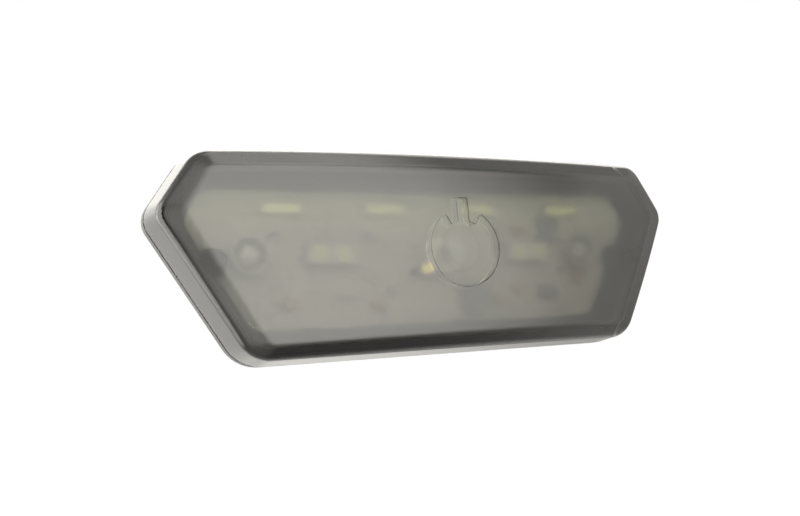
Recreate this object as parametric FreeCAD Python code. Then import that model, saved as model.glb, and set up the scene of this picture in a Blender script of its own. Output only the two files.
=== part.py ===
import FreeCAD, Part
import math
import os
from FreeCAD import Vector

os.makedirs("parts", exist_ok=True)

# Rear light for a bicycle helmet: a long six-sided smoked lens over a flat tub that
# plugs into the helmet. Millimetres. X runs along the light, +Y goes back into the
# helmet and +Z is up. The origin is the middle of the tub's flat back.

# Outline of the light, seen from the front
light_height = 28.0
top_half = 35.6
apex_half = 41.4
bottom_half = 30.1
apex_drop = 8.5
top_corner_r = 4.2
apex_corner_r = 3.2
bottom_corner_r = 5.2

# Depths along Y, from the lens's crown to the tub's back
total_depth = 17.0
bevel_depth = 1.4
lens_wall_depth = 5.25
seam_width = 0.45
flange_thickness = 1.2
board_depth = 10.0

# Long curves of the body
face_radius = 192.0
crown_radius = 182.0
rim_radius = 232.0

# Lens
wall_lean = 0.66
bevel_top = 2.3
bevel_bottom = 1.75
bevel_upper = 2.6
bevel_lower = 2.9
face_corner_r = 1.3
hollow_corner_share = 0.3
least_corner_r = 0.6
lens_wall = 1.6

# Power button, whose outline is the standby symbol
symbol_outer_r = 5.35
symbol_stroke = 1.7
symbol_gap_deg = 31.0
bar_top = 6.9
bar_bottom = 2.65
symbol_relief = 0.18
symbol_relief_root = 0.5
button_clearance = 0.06
button_travel = 0.3
button_flange = 0.8
button_flange_thickness = 0.7
button_seal_thickness = 0.4
stem_r = 1.5
core_inset = 0.35
button_overlap = 0.2

# Rear housing
tub_inset = 3.2
tub_wall = 1.1
tub_floor = 1.2
tub_corner_r = 2.4
tub_bottom_corner_r = 3.4
tub_back_round = 1.0
lip_height = 3.6
lip_root = 0.3
post_to_flange = 0.3
post_clearance = 0.2
lip_thickness = 0.8
lip_clearance = 0.25
gasket_recess = 0.35
gasket_width = 1.0
seal_face_gap = 0.03
ledge_width = 0.8
hook_overhang = 0.45
hook_width = 3.0
hook_height = 0.9
hook_root = 0.3
hook_to_board = 0.05
hook_xs = (-20.0, 4.0)

# Housing screws, one at each end, in columns that the board is notched round
screw_z = -0.6
column_r = 2.0
column_back_round = 0.6
column_to_side = 0.43637
lens_post_r = 1.75
column_to_post_gap = 0.1
screw_r = 0.85
screw_head_r = 1.5
screw_head_height = 1.1
screw_head_round = 0.4
screw_bite = 3.2
screw_clearance = 0.03
screw_tip_room = 0.4
column_bore_clearance = 0.25
head_clearance = 0.2
head_pocket_depth = 2.0
drive_r = 0.7
drive_depth = 0.6
drive_width = 0.4

# Snap pegs that hold the light to the helmet
peg_spacing = 44.0
peg_r = 2.0
peg_length = 4.6
peg_barb = 0.25
peg_barb_length = 1.2
peg_barb_step = 0.3
peg_nose_taper = 0.6
peg_slot = 0.8
peg_slot_depth = 1.4
peg_root = 0.2

# Circuit board and what stands on it
board_thickness = 1.0
board_clearance = 0.25
board_corner_r = 2.2
notch_clearance = 0.2
end_led_xs = (-27.7, 26.0)
led_row_z = 0.6
end_ring_r = 2.6
end_ring_height = 1.7
end_ring_bore = 1.9
end_ring_flare = 0.4
end_dome_r = 1.5
end_dome_wall = 0.5
led_size = (3.5, 2.8)
led_height = 1.4
led_chamfer = 0.2
led_cup_r = 1.15
led_cup_taper = 0.25
led_cup_depth = 0.8
led_window_gap = 0.02
led_xs = (-17.9, -14.3, 14.3, 17.9)
bar_led_size = (6.0, 1.5)
bar_led_height = 1.1
bar_led_window = 0.4
bar_led_rim = (0.3, 0.15)
bar_led_strip_r = 0.3
bar_led_xs = (-22.9, -7.6, 7.7, 23.0)
bar_led_z = 6.9
indicator_x = -3.3
indicator_z = -2.1
indicator_size = (1.6, 0.9)
indicator_height = 0.6
pipe_r = 0.75
pipe_tip_depth = 5.2
pipe_tip_round = 0.35
switch_size = 4.6
switch_height = 2.6
switch_wall = 0.5
switch_chamfer = 0.4
plunger_r = 1.2
plunger_clearance = 0.05
plunger_proud = 0.7
plunger_flange = 0.5
dome_gap = 0.02
dome_rise = 0.45
dome_thickness = 0.1
dome_side_gap = 0.1
chip_size = 3.6
chip_height = 0.85
chip_chamfer = 0.12
chip_mark_r = 0.3
chip_mark_inset = 0.7
chip_mark_depth = 0.08
chip_centre = (20.8, 4.1)
charger_size = (3.0, 1.7)
charger_height = 1.1
charger_chamfer = 0.15
charger_centre = (19.7, -5.5)
inductor_size = 4.0
inductor_height = 1.9
inductor_corner_r = 0.8
inductor_bore = 1.44
inductor_bore_depth = 0.3
inductor_centre = (6.4, -6.1)
capacitor_size = (2.0, 1.25, 1.1)
capacitor_round = 0.12
capacitor_places = ((10.4, -6.3), (14.4, -4.9), (15.2, 3.9), (25.6, -3.4), (-9.4, -6.4), (-22.4, -6.0))
resistor_size = (1.6, 0.8, 0.45)
resistor_places = ((11.2, 3.9), (11.2, 1.9), (23.0, -2.3), (10.9, -3.2), (-10.2, 3.2), (-24.0, 3.4),
                   (-6.8, -4.6), (-14.0, -5.4))

# Charging socket and its cover, in the tub's bottom wall
socket_x = 16.0
socket_width = 8.94
socket_thickness = 3.2
socket_length = 7.2
socket_metal = 0.3
socket_setback = 0.2
socket_tab = (0.7, 1.2)
socket_tab_place = 4.2
tongue_width = 6.7
tongue_thickness = 0.7
tongue_back = 1.2
tongue_setback = 0.9
port_clearance = 0.35
cover_length = 14.0
cover_width = 5.2
cover_thickness = 1.2
cover_plug_clearance = 0.3
cover_plug_height = 0.7
cover_gap = 0.1
cover_side_gap = 0.2
cover_tab_length = 1.6
cover_tab_width = 3.12
cover_tab_thickness = 0.6
cover_tab_overlap = 0.9
cover_neck = 1.1
cover_corner_r = 1.6

# Battery behind the board
cell_length = 36.0
cell_width = 13.0
cell_thickness = 3.6
cell_centre_x = -9.5
cell_centre_z = 0.0
cell_round = 1.3
cell_seal_length = 2.0
cell_seal_thickness = 0.9
pad_thickness = 0.5
pad_margin = 1.5
lead_r = 0.45
lead_bend_r = 1.5
lead_rise = 0.55
lead_reach = 5.0
lead_z = 2.2

# Reach of the shapes that cut, trim and join, and how finely a loop follows its surface
cut_room = 1.0
join_overlap = 0.1
form_reach = 40.0
form_front_room = 4.0
form_rear_room = 10.0
past_rim_share = 0.3
past_face_share = 0.4
prism_front_room = 5.0
symbol_front_room = 3.0
symbol_back_room = 8.0
loop_points = 9
edge_tolerance = 0.01
parallel = 0.999

# Places that follow from the sizes
crown_y = -total_depth
lens_rear_y = crown_y + bevel_depth + lens_wall_depth
flange_front_y = lens_rear_y + seam_width
flange_rear_y = flange_front_y + flange_thickness
board_front_y = crown_y + board_depth
board_rear_y = board_front_y + board_thickness
cavity_inset = tub_inset + tub_wall
board_inset = cavity_inset + board_clearance
tub_bottom_z = tub_inset - light_height / 2
prism_front_y = crown_y - prism_front_room
symbol_front_y = crown_y - symbol_front_room
symbol_back_y = crown_y + symbol_back_room
side_run = apex_half - bottom_half
side_rise = light_height - apex_drop
side_length = math.hypot(side_run, side_rise)
side_x = apex_half - side_run * (light_height / 2 - apex_drop - screw_z) / side_rise
screw_x = side_x - (lens_wall + column_to_side + column_r) * side_length / side_rise


def save(shape, node):
    """Write one node and say what it holds."""
    shape.exportStep("parts/" + node + ".step")
    solids = len(shape.Solids)
    print(f"{node}: {solids} solid(s), {shape.Volume:.2f} mm3, valid {shape.isValid()}")


def shifted_corners(top, bottom, upper, lower):
    """Corners of the outline, clockwise from the top right, once each edge has moved inwards."""
    half = light_height / 2
    corners = [(top_half, half), (apex_half, half - apex_drop), (bottom_half, -half)]
    corners += [(-x, z) for x, z in reversed(corners)]
    insets = [upper, lower, bottom, lower, upper, top]
    lines = []
    for i in range(6):
        x0, z0 = corners[i]
        x1, z1 = corners[(i + 1) % 6]
        length = math.hypot(x1 - x0, z1 - z0)
        ux = (x1 - x0) / length
        uz = (z1 - z0) / length
        lines.append((x0 + uz * insets[i], z0 - ux * insets[i], ux, uz))
    result = []
    for i in range(6):
        ax, az, aux, auz = lines[i - 1]
        bx, bz, bux, buz = lines[i]
        run = ((bx - ax) * buz - (bz - az) * bux) / (aux * buz - auz * bux)
        result.append((ax + aux * run, az + auz * run))
    return result


def rounded_edges(points, radii, y):
    """Closed run of edges at depth y, a corner arc and then a side, from the top right round."""
    spans = []
    count = len(points)
    for i in range(count):
        here = Vector(points[i][0], y, points[i][1])
        before = Vector(points[i - 1][0], y, points[i - 1][1])
        after = Vector(points[(i + 1) % count][0], y, points[(i + 1) % count][1])
        to_before = (before - here).normalize()
        to_after = (after - here).normalize()
        half_angle = to_before.getAngle(to_after) / 2
        run = radii[i] / math.tan(half_angle)
        middle = (to_before + to_after).normalize()
        lift = radii[i] / math.sin(half_angle) - radii[i]
        spans.append((here + to_before * run, here + middle * lift, here + to_after * run))
    edges = []
    for i in range(count):
        start, top, end = spans[i]
        edges.append(Part.Arc(start, top, end).toShape())
        edges.append(Part.makeLine(end, spans[(i + 1) % count][0]))
    return edges


def outline_edges(inset, y, radii=None, bevels=None):
    """The light's outline, moved inwards alike all round or by the bevel's own widths."""
    extra = bevels or (0.0, 0.0, 0.0, 0.0)
    points = shifted_corners(*[inset + width for width in extra])
    if radii is None:
        sides = (top_corner_r, apex_corner_r, bottom_corner_r)
        radii = [max(r - inset, least_corner_r) for r in sides + tuple(reversed(sides))]
    return rounded_edges(points, radii, y)


def outline(inset, y, radii=None):
    """The moved outline as one wire."""
    return Part.Wire(outline_edges(inset, y, radii))


def prism(wire, y_to):
    """The space between a wire and the same wire carried along Y."""
    return Part.Face(wire).extrude(Vector(0, y_to - wire.BoundBox.YMin, 0))


def behind(front_y, side_radius, crown=None):
    """Everything behind a surface that curves away to both ends and, with crown, up and down."""
    high = light_height
    axis = Vector(0, front_y + side_radius, 0)
    back_y = front_y + form_reach
    if crown:
        edge_y = front_y + crown - math.sqrt(crown ** 2 - high ** 2)
        middle = Vector(0, front_y, 0)
        front = Part.Arc(Vector(0, edge_y, high), middle, Vector(0, edge_y, -high)).toShape()
    else:
        edge_y = front_y
        front = Part.makeLine(Vector(0, edge_y, high), Vector(0, edge_y, -high))
    corners = [(edge_y, -high), (back_y, -high), (back_y, high), (edge_y, high)]
    rest = [Vector(0, y, z) for y, z in corners]
    edges = [front] + [Part.makeLine(rest[i], rest[i + 1]) for i in range(3)]
    half_sweep = 20.0
    profile = Part.Face(Part.Wire(edges))
    profile.rotate(axis, Vector(0, 0, 1), -half_sweep)
    return profile.revolve(axis, Vector(0, 0, 1), 2 * half_sweep)


def depth_of(front_y, side_radius, crown=None):
    """The same surface as a rule that gives its depth at x, z."""
    def depth(x, z):
        drop = crown - math.sqrt(crown ** 2 - z ** 2) if crown else 0.0
        radius = side_radius - drop
        return front_y + side_radius - math.sqrt(radius ** 2 - x ** 2)
    return depth


def lifted(edges, depth):
    """Points along each edge of a flat outline, moved back or forward onto a surface."""
    rows = []
    for edge in edges:
        points = edge.discretize(Number=loop_points)
        rows.append([Vector(p.x, depth(p.x, p.z), p.z) for p in points])
    return rows


def smooth_edges(rows):
    """One smooth edge through each row of points."""
    edges = []
    for row in rows:
        curve = Part.BSplineCurve()
        curve.interpolate(row)
        edges.append(curve.toShape())
    return edges


def carried_on(start_rows, end_rows, share):
    """Rows moved on past the end rows, along the way from the start rows, by a share of it."""
    rows = []
    for start_row, end_row in zip(start_rows, end_rows):
        rows.append([end + (end - start) * share for start, end in zip(start_row, end_row)])
    return rows


def skin(loops):
    """A solid through a stack of loops, flat at both ends, ruled from each corner to the next."""
    return Part.makeLoft([Part.Wire(loop) for loop in loops], True, True)


def offset_of_edge(angle_a, angle_b, wall):
    """How far inwards and back an edge moves when both its faces move in by the wall."""
    normal_a = (math.sin(angle_a), math.cos(angle_a))
    normal_b = (math.sin(angle_b), math.cos(angle_b))
    share = wall / (1 + normal_a[0] * normal_b[0] + normal_a[1] * normal_b[1])
    return share * (normal_a[0] + normal_b[0]), share * (normal_a[1] + normal_b[1])


def box(x, z, size_x, size_z, y0, y1):
    """A block centred at x, z between two depths."""
    return Part.makeBox(size_x, y1 - y0, size_z, Vector(x - size_x / 2, y0, z - size_z / 2))


def rod(x, z, radius, y0, y1):
    """A round bar along Y."""
    return Part.makeCylinder(radius, y1 - y0, Vector(x, y0, z), Vector(0, 1, 0))


def flat_edges(shape, y):
    """The edges that lie flat at one depth."""
    found = []
    for edge in shape.Edges:
        bounds = edge.BoundBox
        if abs(bounds.YMin - y) < edge_tolerance and abs(bounds.YMax - y) < edge_tolerance:
            found.append(edge)
    return found


def edges_along(shape, axis):
    """The straight edges that run along one axis."""
    found = []
    for edge in shape.Edges:
        if len(edge.Vertexes) == 2:
            run = edge.Vertexes[1].Point - edge.Vertexes[0].Point
            if abs(run.normalize().dot(axis)) > parallel:
                found.append(edge)
    return found


def leaned(inset):
    """A solid whose side leans in as the lens's wall does, with the outline at the inset on the rim."""
    rim_rows = lifted(outline_edges(inset, 0), depth_of(lens_rear_y, rim_radius))
    front_depth = depth_of(lens_rear_y - lens_wall_depth, rim_radius)
    front_rows = lifted(outline_edges(inset + wall_lean, 0), front_depth)
    rear_rows = carried_on(front_rows, rim_rows, past_rim_share)
    front_end = outline_edges(inset + wall_lean, lens_rear_y - lens_wall_depth - form_front_room)
    rear_end = outline_edges(inset, lens_rear_y + form_rear_room)
    return skin([rear_end, smooth_edges(rear_rows), smooth_edges(front_rows), front_end])


def lens_form(wall):
    """The lens's outer form, or the hollow inside it when wall is its thickness."""
    bevels = (bevel_top, bevel_bottom, bevel_upper, bevel_lower)
    bevel_angle = math.atan2(bevel_depth, sum(bevels) / 4)
    wall_angle = math.pi / 2 - math.atan2(wall_lean, lens_wall_depth)
    face_in, face_back = offset_of_edge(0.0, bevel_angle, wall)
    edge_in, edge_back = offset_of_edge(bevel_angle, wall_angle, wall)
    small = [max(face_corner_r - hollow_corner_share * wall, least_corner_r)] * 6
    rim_rows = lifted(outline_edges(wall, 0), depth_of(lens_rear_y, rim_radius))
    edge_depth = depth_of(crown_y + bevel_depth + edge_back, rim_radius, crown_radius)
    edge_rows = lifted(outline_edges(wall_lean + edge_in, 0), edge_depth)
    front = outline_edges(wall_lean + face_in, 0, small, bevels)
    front_rows = lifted(front, depth_of(crown_y + face_back, face_radius, crown_radius))
    rear_end = outline_edges(wall, lens_rear_y + form_rear_room)
    front_end = outline_edges(wall_lean + face_in, crown_y - form_front_room, small, bevels)
    rear_rows = carried_on(edge_rows, rim_rows, past_rim_share)
    past_rows = carried_on(edge_rows, front_rows, past_face_share)
    loops = [rear_end, smooth_edges(rear_rows), smooth_edges(edge_rows), smooth_edges(past_rows), front_end]
    return skin(loops).common(behind(crown_y + face_back, face_radius, crown_radius))


def symbol_parts(grow):
    """The button's outline at a margin: inner disc, open ring and bar, as prisms along Y."""
    y0 = symbol_front_y
    y1 = symbol_back_y
    inner_r = symbol_outer_r - symbol_stroke
    disc = rod(0, 0, inner_r + grow, y0, y1)
    ring = rod(0, 0, symbol_outer_r + grow, y0, y1)
    gap = math.radians(symbol_gap_deg) - grow / symbol_outer_r
    far = 3 * symbol_outer_r
    across = far * math.sin(gap)
    up = far * math.cos(gap)
    wedge_points = [Vector(x, y0, z) for x, z in ((0, 0), (-across, up), (across, up))]
    wedge = Part.Face(Part.makePolygon(wedge_points + wedge_points[:1])).extrude(Vector(0, y1 - y0, 0))
    ring = ring.cut(wedge)
    low = bar_bottom - grow
    high = bar_top + grow
    bar = box(0, (low + high) / 2, symbol_stroke + 2 * grow, high - low, y0, y1)
    return disc, ring, bar


def symbol_prism(grow):
    """One solid of the button's outline."""
    disc, ring, bar = symbol_parts(grow)
    return disc.fuse([ring, bar]).removeSplitter()


def between(front_y, back_y, side_radius, crown=None):
    """The curved slice between two parallel curved surfaces."""
    return behind(front_y, side_radius, crown).cut(behind(back_y, side_radius, crown))


def make_lens():
    """Hollow cap with its two screw posts and the opening for the button."""
    outer = lens_form(0.0)
    inner = lens_form(lens_wall)
    cap = outer.cut(inner).cut(behind(lens_rear_y, rim_radius))
    post_end = flange_front_y - post_to_flange
    hole_y = post_end - screw_bite - screw_tip_room
    for side in (-1, 1):
        post = rod(side * screw_x, screw_z, lens_post_r, crown_y, post_end)
        hole = rod(side * screw_x, screw_z, screw_r + screw_clearance, hole_y, post_end)
        cap = cap.fuse(post.common(inner)).cut(hole)
    cap = cap.cut(symbol_prism(button_clearance))
    return cap.removeSplitter(), post_end


def make_button():
    """Symbol-shaped key with its retaining flange and the stem that reaches the switch."""
    slab = between(crown_y, crown_y + lens_wall, face_radius, crown_radius)
    key = symbol_prism(0.0).common(slab)
    root_y = crown_y + symbol_relief_root
    raised = between(crown_y - symbol_relief, root_y, face_radius, crown_radius)
    disc, ring, bar = symbol_parts(0.0)
    inner_r = symbol_outer_r - symbol_stroke
    relief = ring.cut(rod(0, 0, inner_r, symbol_front_y, symbol_back_y)).fuse(bar).common(raised)
    flange_y = crown_y + lens_wall + button_seal_thickness
    core_slab = between(root_y, flange_y + button_overlap, face_radius, crown_radius)
    core = symbol_prism(-core_inset).common(core_slab)
    flange_slab = between(flange_y, flange_y + button_flange_thickness, face_radius, crown_radius)
    flange = symbol_prism(button_flange).common(flange_slab)
    stem_end = board_front_y - switch_height - plunger_proud
    stem = rod(0, 0, stem_r, flange_y + button_overlap, stem_end)
    return key.fuse([relief, core, flange, stem]).removeSplitter(), stem_end


def make_button_seal():
    """Flat seal that follows the symbol between the lens and the button's flange."""
    start = crown_y + lens_wall
    end = start + button_seal_thickness
    slab = between(start + seal_face_gap, end - seal_face_gap, face_radius, crown_radius)
    return symbol_prism(button_flange).cut(symbol_prism(button_clearance)).common(slab)


def make_gasket():
    """Rubber strip in the seam between the lens and the flange, set back from the edge."""
    ring = prism(outline(gasket_recess, prism_front_y), 0)
    ring = ring.cut(prism(outline(gasket_recess + gasket_width, prism_front_y), 0))
    slab = between(lens_rear_y + seal_face_gap, flange_front_y - seal_face_gap, rim_radius)
    return ring.common(slab)


def make_pegs():
    """Two split snap pegs on the tub's back, each with a barbed nose."""
    pegs = []
    for side in (-1, 1):
        x = side * peg_spacing / 2
        barb_y = peg_length - peg_barb_length
        nose_y = barb_y + peg_barb_step
        shaft = rod(x, 0, peg_r, -peg_root, barb_y)
        foot = Part.makeCone(peg_r, peg_r + peg_barb, peg_barb_step, Vector(x, barb_y, 0), Vector(0, 1, 0))
        nose = Part.makeCone(peg_r + peg_barb, peg_r - peg_nose_taper, peg_length - nose_y,
                             Vector(x, nose_y, 0), Vector(0, 1, 0))
        slot = box(x, 0, peg_slot, 3 * peg_r, barb_y - peg_slot_depth, peg_length + cut_room)
        pegs.append(shaft.fuse([foot, nose]).cut(slot))
    return pegs


def make_housing(post_end):
    """Flange, lip and tub with the board's ledge and hooks, screw columns, port and pegs."""
    start = prism_front_y
    tub_radii = [tub_corner_r, tub_corner_r, tub_bottom_corner_r]
    tub_radii += list(reversed(tub_radii))
    flange = prism(outline(0.0, start), 0).common(between(flange_front_y, flange_rear_y, rim_radius))
    lip_out = lens_wall + lip_clearance
    lip = leaned(lip_out).cut(leaned(lip_out + lip_thickness))
    lip = lip.common(between(flange_front_y - lip_height, flange_front_y + lip_root, rim_radius))
    for side in (-1, 1):
        lip = lip.cut(rod(side * screw_x, screw_z, lens_post_r + post_clearance, start, 0))
    tub = prism(outline(tub_inset, start, tub_radii), 0)
    tub = tub.makeFillet(tub_back_round, flat_edges(tub, 0))
    tub = tub.common(behind(flange_front_y + flange_thickness / 2, rim_radius))
    columns = []
    for side in (-1, 1):
        column = rod(side * screw_x, screw_z, column_r, post_end + column_to_post_gap, 0)
        columns.append(column.makeFillet(column_back_round, flat_edges(column, 0)))
    cavity = prism(outline(cavity_inset, start, [tub_corner_r] * 6), board_rear_y)
    ledge_r = tub_corner_r - ledge_width / 2
    under = prism(outline(cavity_inset + ledge_width, board_rear_y - join_overlap, [ledge_r] * 6), -tub_floor)
    body = flange.fuse([lip, tub]).cut(cavity).cut(under)
    bore = []
    for side in (-1, 1):
        bore.append(rod(side * screw_x, screw_z, screw_r + column_bore_clearance, start, cut_room))
        bore.append(rod(side * screw_x, screw_z, screw_head_r + head_clearance, -head_pocket_depth, cut_room))
    body = body.fuse(columns)
    for hole in bore:
        body = body.cut(hole)
    wall_z = light_height / 2 - cavity_inset
    hook_y = board_front_y - hook_to_board
    for x in hook_xs:
        for side in (-1, 1):
            corners = [(hook_root, -hook_height), (hook_root, 0), (-hook_overhang, 0), (0, -hook_height)]
            points = [Vector(x - hook_width / 2, hook_y + dy, side * (wall_z + dz)) for dz, dy in corners]
            face = Part.Face(Part.makePolygon(points + points[:1]))
            body = body.fuse(face.extrude(Vector(hook_width, 0, 0)))
    socket_y = board_rear_y + socket_thickness / 2
    port = stadium(socket_width + 2 * port_clearance, socket_thickness + 2 * port_clearance, socket_y)
    body = body.cut(port.extrude(Vector(0, 0, tub_wall + 2 * cut_room)))
    hinge_x = socket_x - cover_length / 2
    seat_width = cover_width + 2 * cover_side_gap
    seat_start = Vector(hinge_x, socket_y - seat_width / 2, tub_bottom_z - cover_gap)
    seat = Part.makeCylinder(cover_thickness / 2 + cover_gap, seat_width, seat_start, Vector(0, 1, 0))
    body = body.cut(seat)
    return body.fuse(make_pegs()).removeSplitter()


def stadium(width, thickness, y):
    """Flat-sided face with round ends, lying below the tub's bottom wall."""
    radius = thickness / 2
    z = tub_bottom_z - cut_room
    left = socket_x - width / 2 + radius
    right = socket_x + width / 2 - radius
    front_left = Vector(left, y - radius, z)
    front_right = Vector(right, y - radius, z)
    back_left = Vector(left, y + radius, z)
    back_right = Vector(right, y + radius, z)
    edges = [Part.makeLine(front_left, front_right),
             Part.Arc(front_right, Vector(right + radius, y, z), back_right).toShape(),
             Part.makeLine(back_right, back_left),
             Part.Arc(back_left, Vector(left - radius, y, z), front_left).toShape()]
    return Part.Face(Part.Wire(edges))


def make_screws(post_end):
    """Pan head screws from the back, through the columns into the lens's posts."""
    screws = []
    for side in (-1, 1):
        x = side * screw_x
        head_y = -head_pocket_depth
        shank = rod(x, screw_z, screw_r, post_end - screw_bite, head_y)
        head = rod(x, screw_z, screw_head_r, head_y, head_y + screw_head_height)
        top_y = head_y + screw_head_height
        head = head.makeFillet(screw_head_round, flat_edges(head, top_y))
        arms = [box(x, screw_z, 2 * drive_r, drive_width, top_y - drive_depth, 0),
                box(x, screw_z, drive_width, 2 * drive_r, top_y - drive_depth, 0)]
        screws.append(shank.fuse(head).cut(arms[0]).cut(arms[1]).removeSplitter())
    return Part.makeCompound(screws)


def make_board():
    """Board with a round notch at each end for the screw columns."""
    radii = [board_corner_r] * 6
    board = prism(outline(board_inset, board_front_y, radii), board_rear_y)
    notch_r = column_r + notch_clearance
    for side in (-1, 1):
        notch = rod(side * screw_x, screw_z, notch_r, board_front_y - cut_room, board_rear_y + cut_room)
        board = board.cut(notch)
    return board


def dome(x, z, radius, shoulder_y, base_y):
    """Half round on a short wall, turned about its own axis."""
    slant = radius * math.sqrt(0.5)
    tip = Vector(x, shoulder_y - radius, z)
    middle = Vector(x + slant, shoulder_y - slant, z)
    points = [Vector(x + radius, shoulder_y, z), Vector(x + radius, base_y, z), Vector(x, base_y, z), tip]
    edges = [Part.Arc(tip, middle, points[0]).toShape()]
    edges += [Part.makeLine(a, b) for a, b in zip(points, points[1:])]
    return Part.Face(Part.Wire(edges)).revolve(Vector(x, 0, z), Vector(0, 1, 0), 360)


def make_end_leds():
    """Round reflector rings at both ends and the domed emitters in them."""
    rings = []
    domes = []
    top = board_front_y - end_ring_height
    for x in end_led_xs:
        ring = rod(x, led_row_z, end_ring_r, top, board_front_y)
        cup = Part.makeCone(end_ring_bore + end_ring_flare, end_ring_bore, end_ring_height,
                            Vector(x, top, led_row_z), Vector(0, 1, 0))
        rings.append(ring.cut(cup))
        domes.append(dome(x, led_row_z, end_dome_r, board_front_y - end_dome_wall, board_front_y))
    return Part.makeCompound(rings), Part.makeCompound(domes)


def make_leds():
    """Square packages with a round cup, and the resin that fills each cup."""
    bodies = []
    windows = []
    top = board_front_y - led_height
    for x in led_xs:
        body = box(x, led_row_z, led_size[0], led_size[1], top, board_front_y)
        body = body.makeChamfer(led_chamfer, edges_along(body, Vector(0, 1, 0)))
        mouth = Vector(x, top, led_row_z)
        cup_floor_r = led_cup_r - led_cup_taper
        bodies.append(body.cut(Part.makeCone(led_cup_r, cup_floor_r, led_cup_depth, mouth, Vector(0, 1, 0))))
        windows.append(Part.makeCone(led_cup_r - led_window_gap, cup_floor_r - led_window_gap,
                                     led_cup_depth - led_window_gap, mouth, Vector(0, 1, 0)))
    return Part.makeCompound(bodies), Part.makeCompound(windows)


def make_bar_leds():
    """Slim light bars along the board's top edge, each with its strip of phosphor."""
    bodies = []
    strips = []
    top = board_front_y - bar_led_height
    for x in bar_led_xs:
        body = box(x, bar_led_z, bar_led_size[0], bar_led_size[1], top + bar_led_window, board_front_y)
        strip_length = bar_led_size[0] - 2 * bar_led_rim[0]
        strip_width = bar_led_size[1] - 2 * bar_led_rim[1]
        strip = box(x, bar_led_z, strip_length, strip_width, top, top + bar_led_window)
        bodies.append(body)
        strips.append(strip.makeFillet(bar_led_strip_r, edges_along(strip, Vector(0, 1, 0))))
    return Part.makeCompound(bodies), Part.makeCompound(strips)


def make_switch(stem_end):
    """Push switch: open-topped case, snap dome on its floor and the plunger under the stem."""
    top = board_front_y - switch_height
    case = box(0, 0, switch_size, switch_size, top, board_front_y)
    case = case.makeChamfer(switch_chamfer, edges_along(case, Vector(0, 1, 0)))
    room_r = switch_size / 2 - switch_wall
    room = rod(0, 0, room_r, top + switch_wall, board_front_y - switch_wall)
    mouth = rod(0, 0, plunger_r + plunger_clearance, top - cut_room, board_front_y - switch_wall)
    case = case.cut(room).cut(mouth)
    plunger_end = board_front_y - switch_wall - dome_rise - dome_gap - button_travel
    flange_r = room_r - plunger_clearance
    plunger = rod(0, 0, plunger_r, stem_end, plunger_end)
    plunger = plunger.fuse(rod(0, 0, flange_r, plunger_end - plunger_flange, plunger_end)).removeSplitter()
    floor_y = board_front_y - switch_wall
    dome_base_r = room_r - dome_side_gap
    sphere_r = (dome_base_r ** 2 + dome_rise ** 2) / (2 * dome_rise)
    centre = Vector(0, floor_y - dome_rise + sphere_r, 0)
    slab = box(0, 0, 2 * switch_size, 2 * switch_size, floor_y - switch_height, floor_y)
    outer = Part.makeSphere(sphere_r, centre).common(slab)
    dome = outer.cut(Part.makeSphere(sphere_r - dome_thickness, centre))
    return case, plunger, dome


def make_small_parts():
    """Chips, coil, capacitors and resistors on the board's front."""
    front = board_front_y
    chip = box(chip_centre[0], chip_centre[1], chip_size, chip_size, front - chip_height, front)
    chip_top = front - chip_height
    chip = chip.makeChamfer(chip_chamfer, flat_edges(chip, chip_top))
    mark_x = chip_centre[0] - chip_size / 2 + chip_mark_inset
    mark_z = chip_centre[1] + chip_size / 2 - chip_mark_inset
    chip = chip.cut(rod(mark_x, mark_z, chip_mark_r, chip_top - cut_room, chip_top + chip_mark_depth))
    charger_top = front - charger_height
    charger = box(charger_centre[0], charger_centre[1], charger_size[0], charger_size[1], charger_top, front)
    charger = charger.makeChamfer(charger_chamfer, edges_along(charger, Vector(1, 0, 0)))
    coil_x, coil_z = inductor_centre
    coil = box(coil_x, coil_z, inductor_size, inductor_size, front - inductor_height, front)
    coil = coil.makeFillet(inductor_corner_r, edges_along(coil, Vector(0, 1, 0)))
    coil_top = front - inductor_height
    coil = coil.cut(rod(coil_x, coil_z, inductor_bore, coil_top - cut_room, coil_top + inductor_bore_depth))
    capacitors = []
    for x, z in capacitor_places:
        block = box(x, z, capacitor_size[0], capacitor_size[1], front - capacitor_size[2], front)
        capacitors.append(block.makeFillet(capacitor_round, edges_along(block, Vector(1, 0, 0))))
    resistors = []
    for x, z in resistor_places:
        resistors.append(box(x, z, resistor_size[0], resistor_size[1], front - resistor_size[2], front))
    return chip, charger, coil, Part.makeCompound(capacitors), Part.makeCompound(resistors)


def make_indicator():
    """Small lamp beside the switch and the clear pipe that brings its light near the lens."""
    lamp_top = board_front_y - indicator_height
    lamp = box(indicator_x, indicator_z, indicator_size[0], indicator_size[1], lamp_top, board_front_y)
    tip_y = crown_y + pipe_tip_depth
    pipe = rod(indicator_x, indicator_z, pipe_r, tip_y, lamp_top)
    return lamp, pipe.makeFillet(pipe_tip_round, flat_edges(pipe, tip_y))


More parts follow.
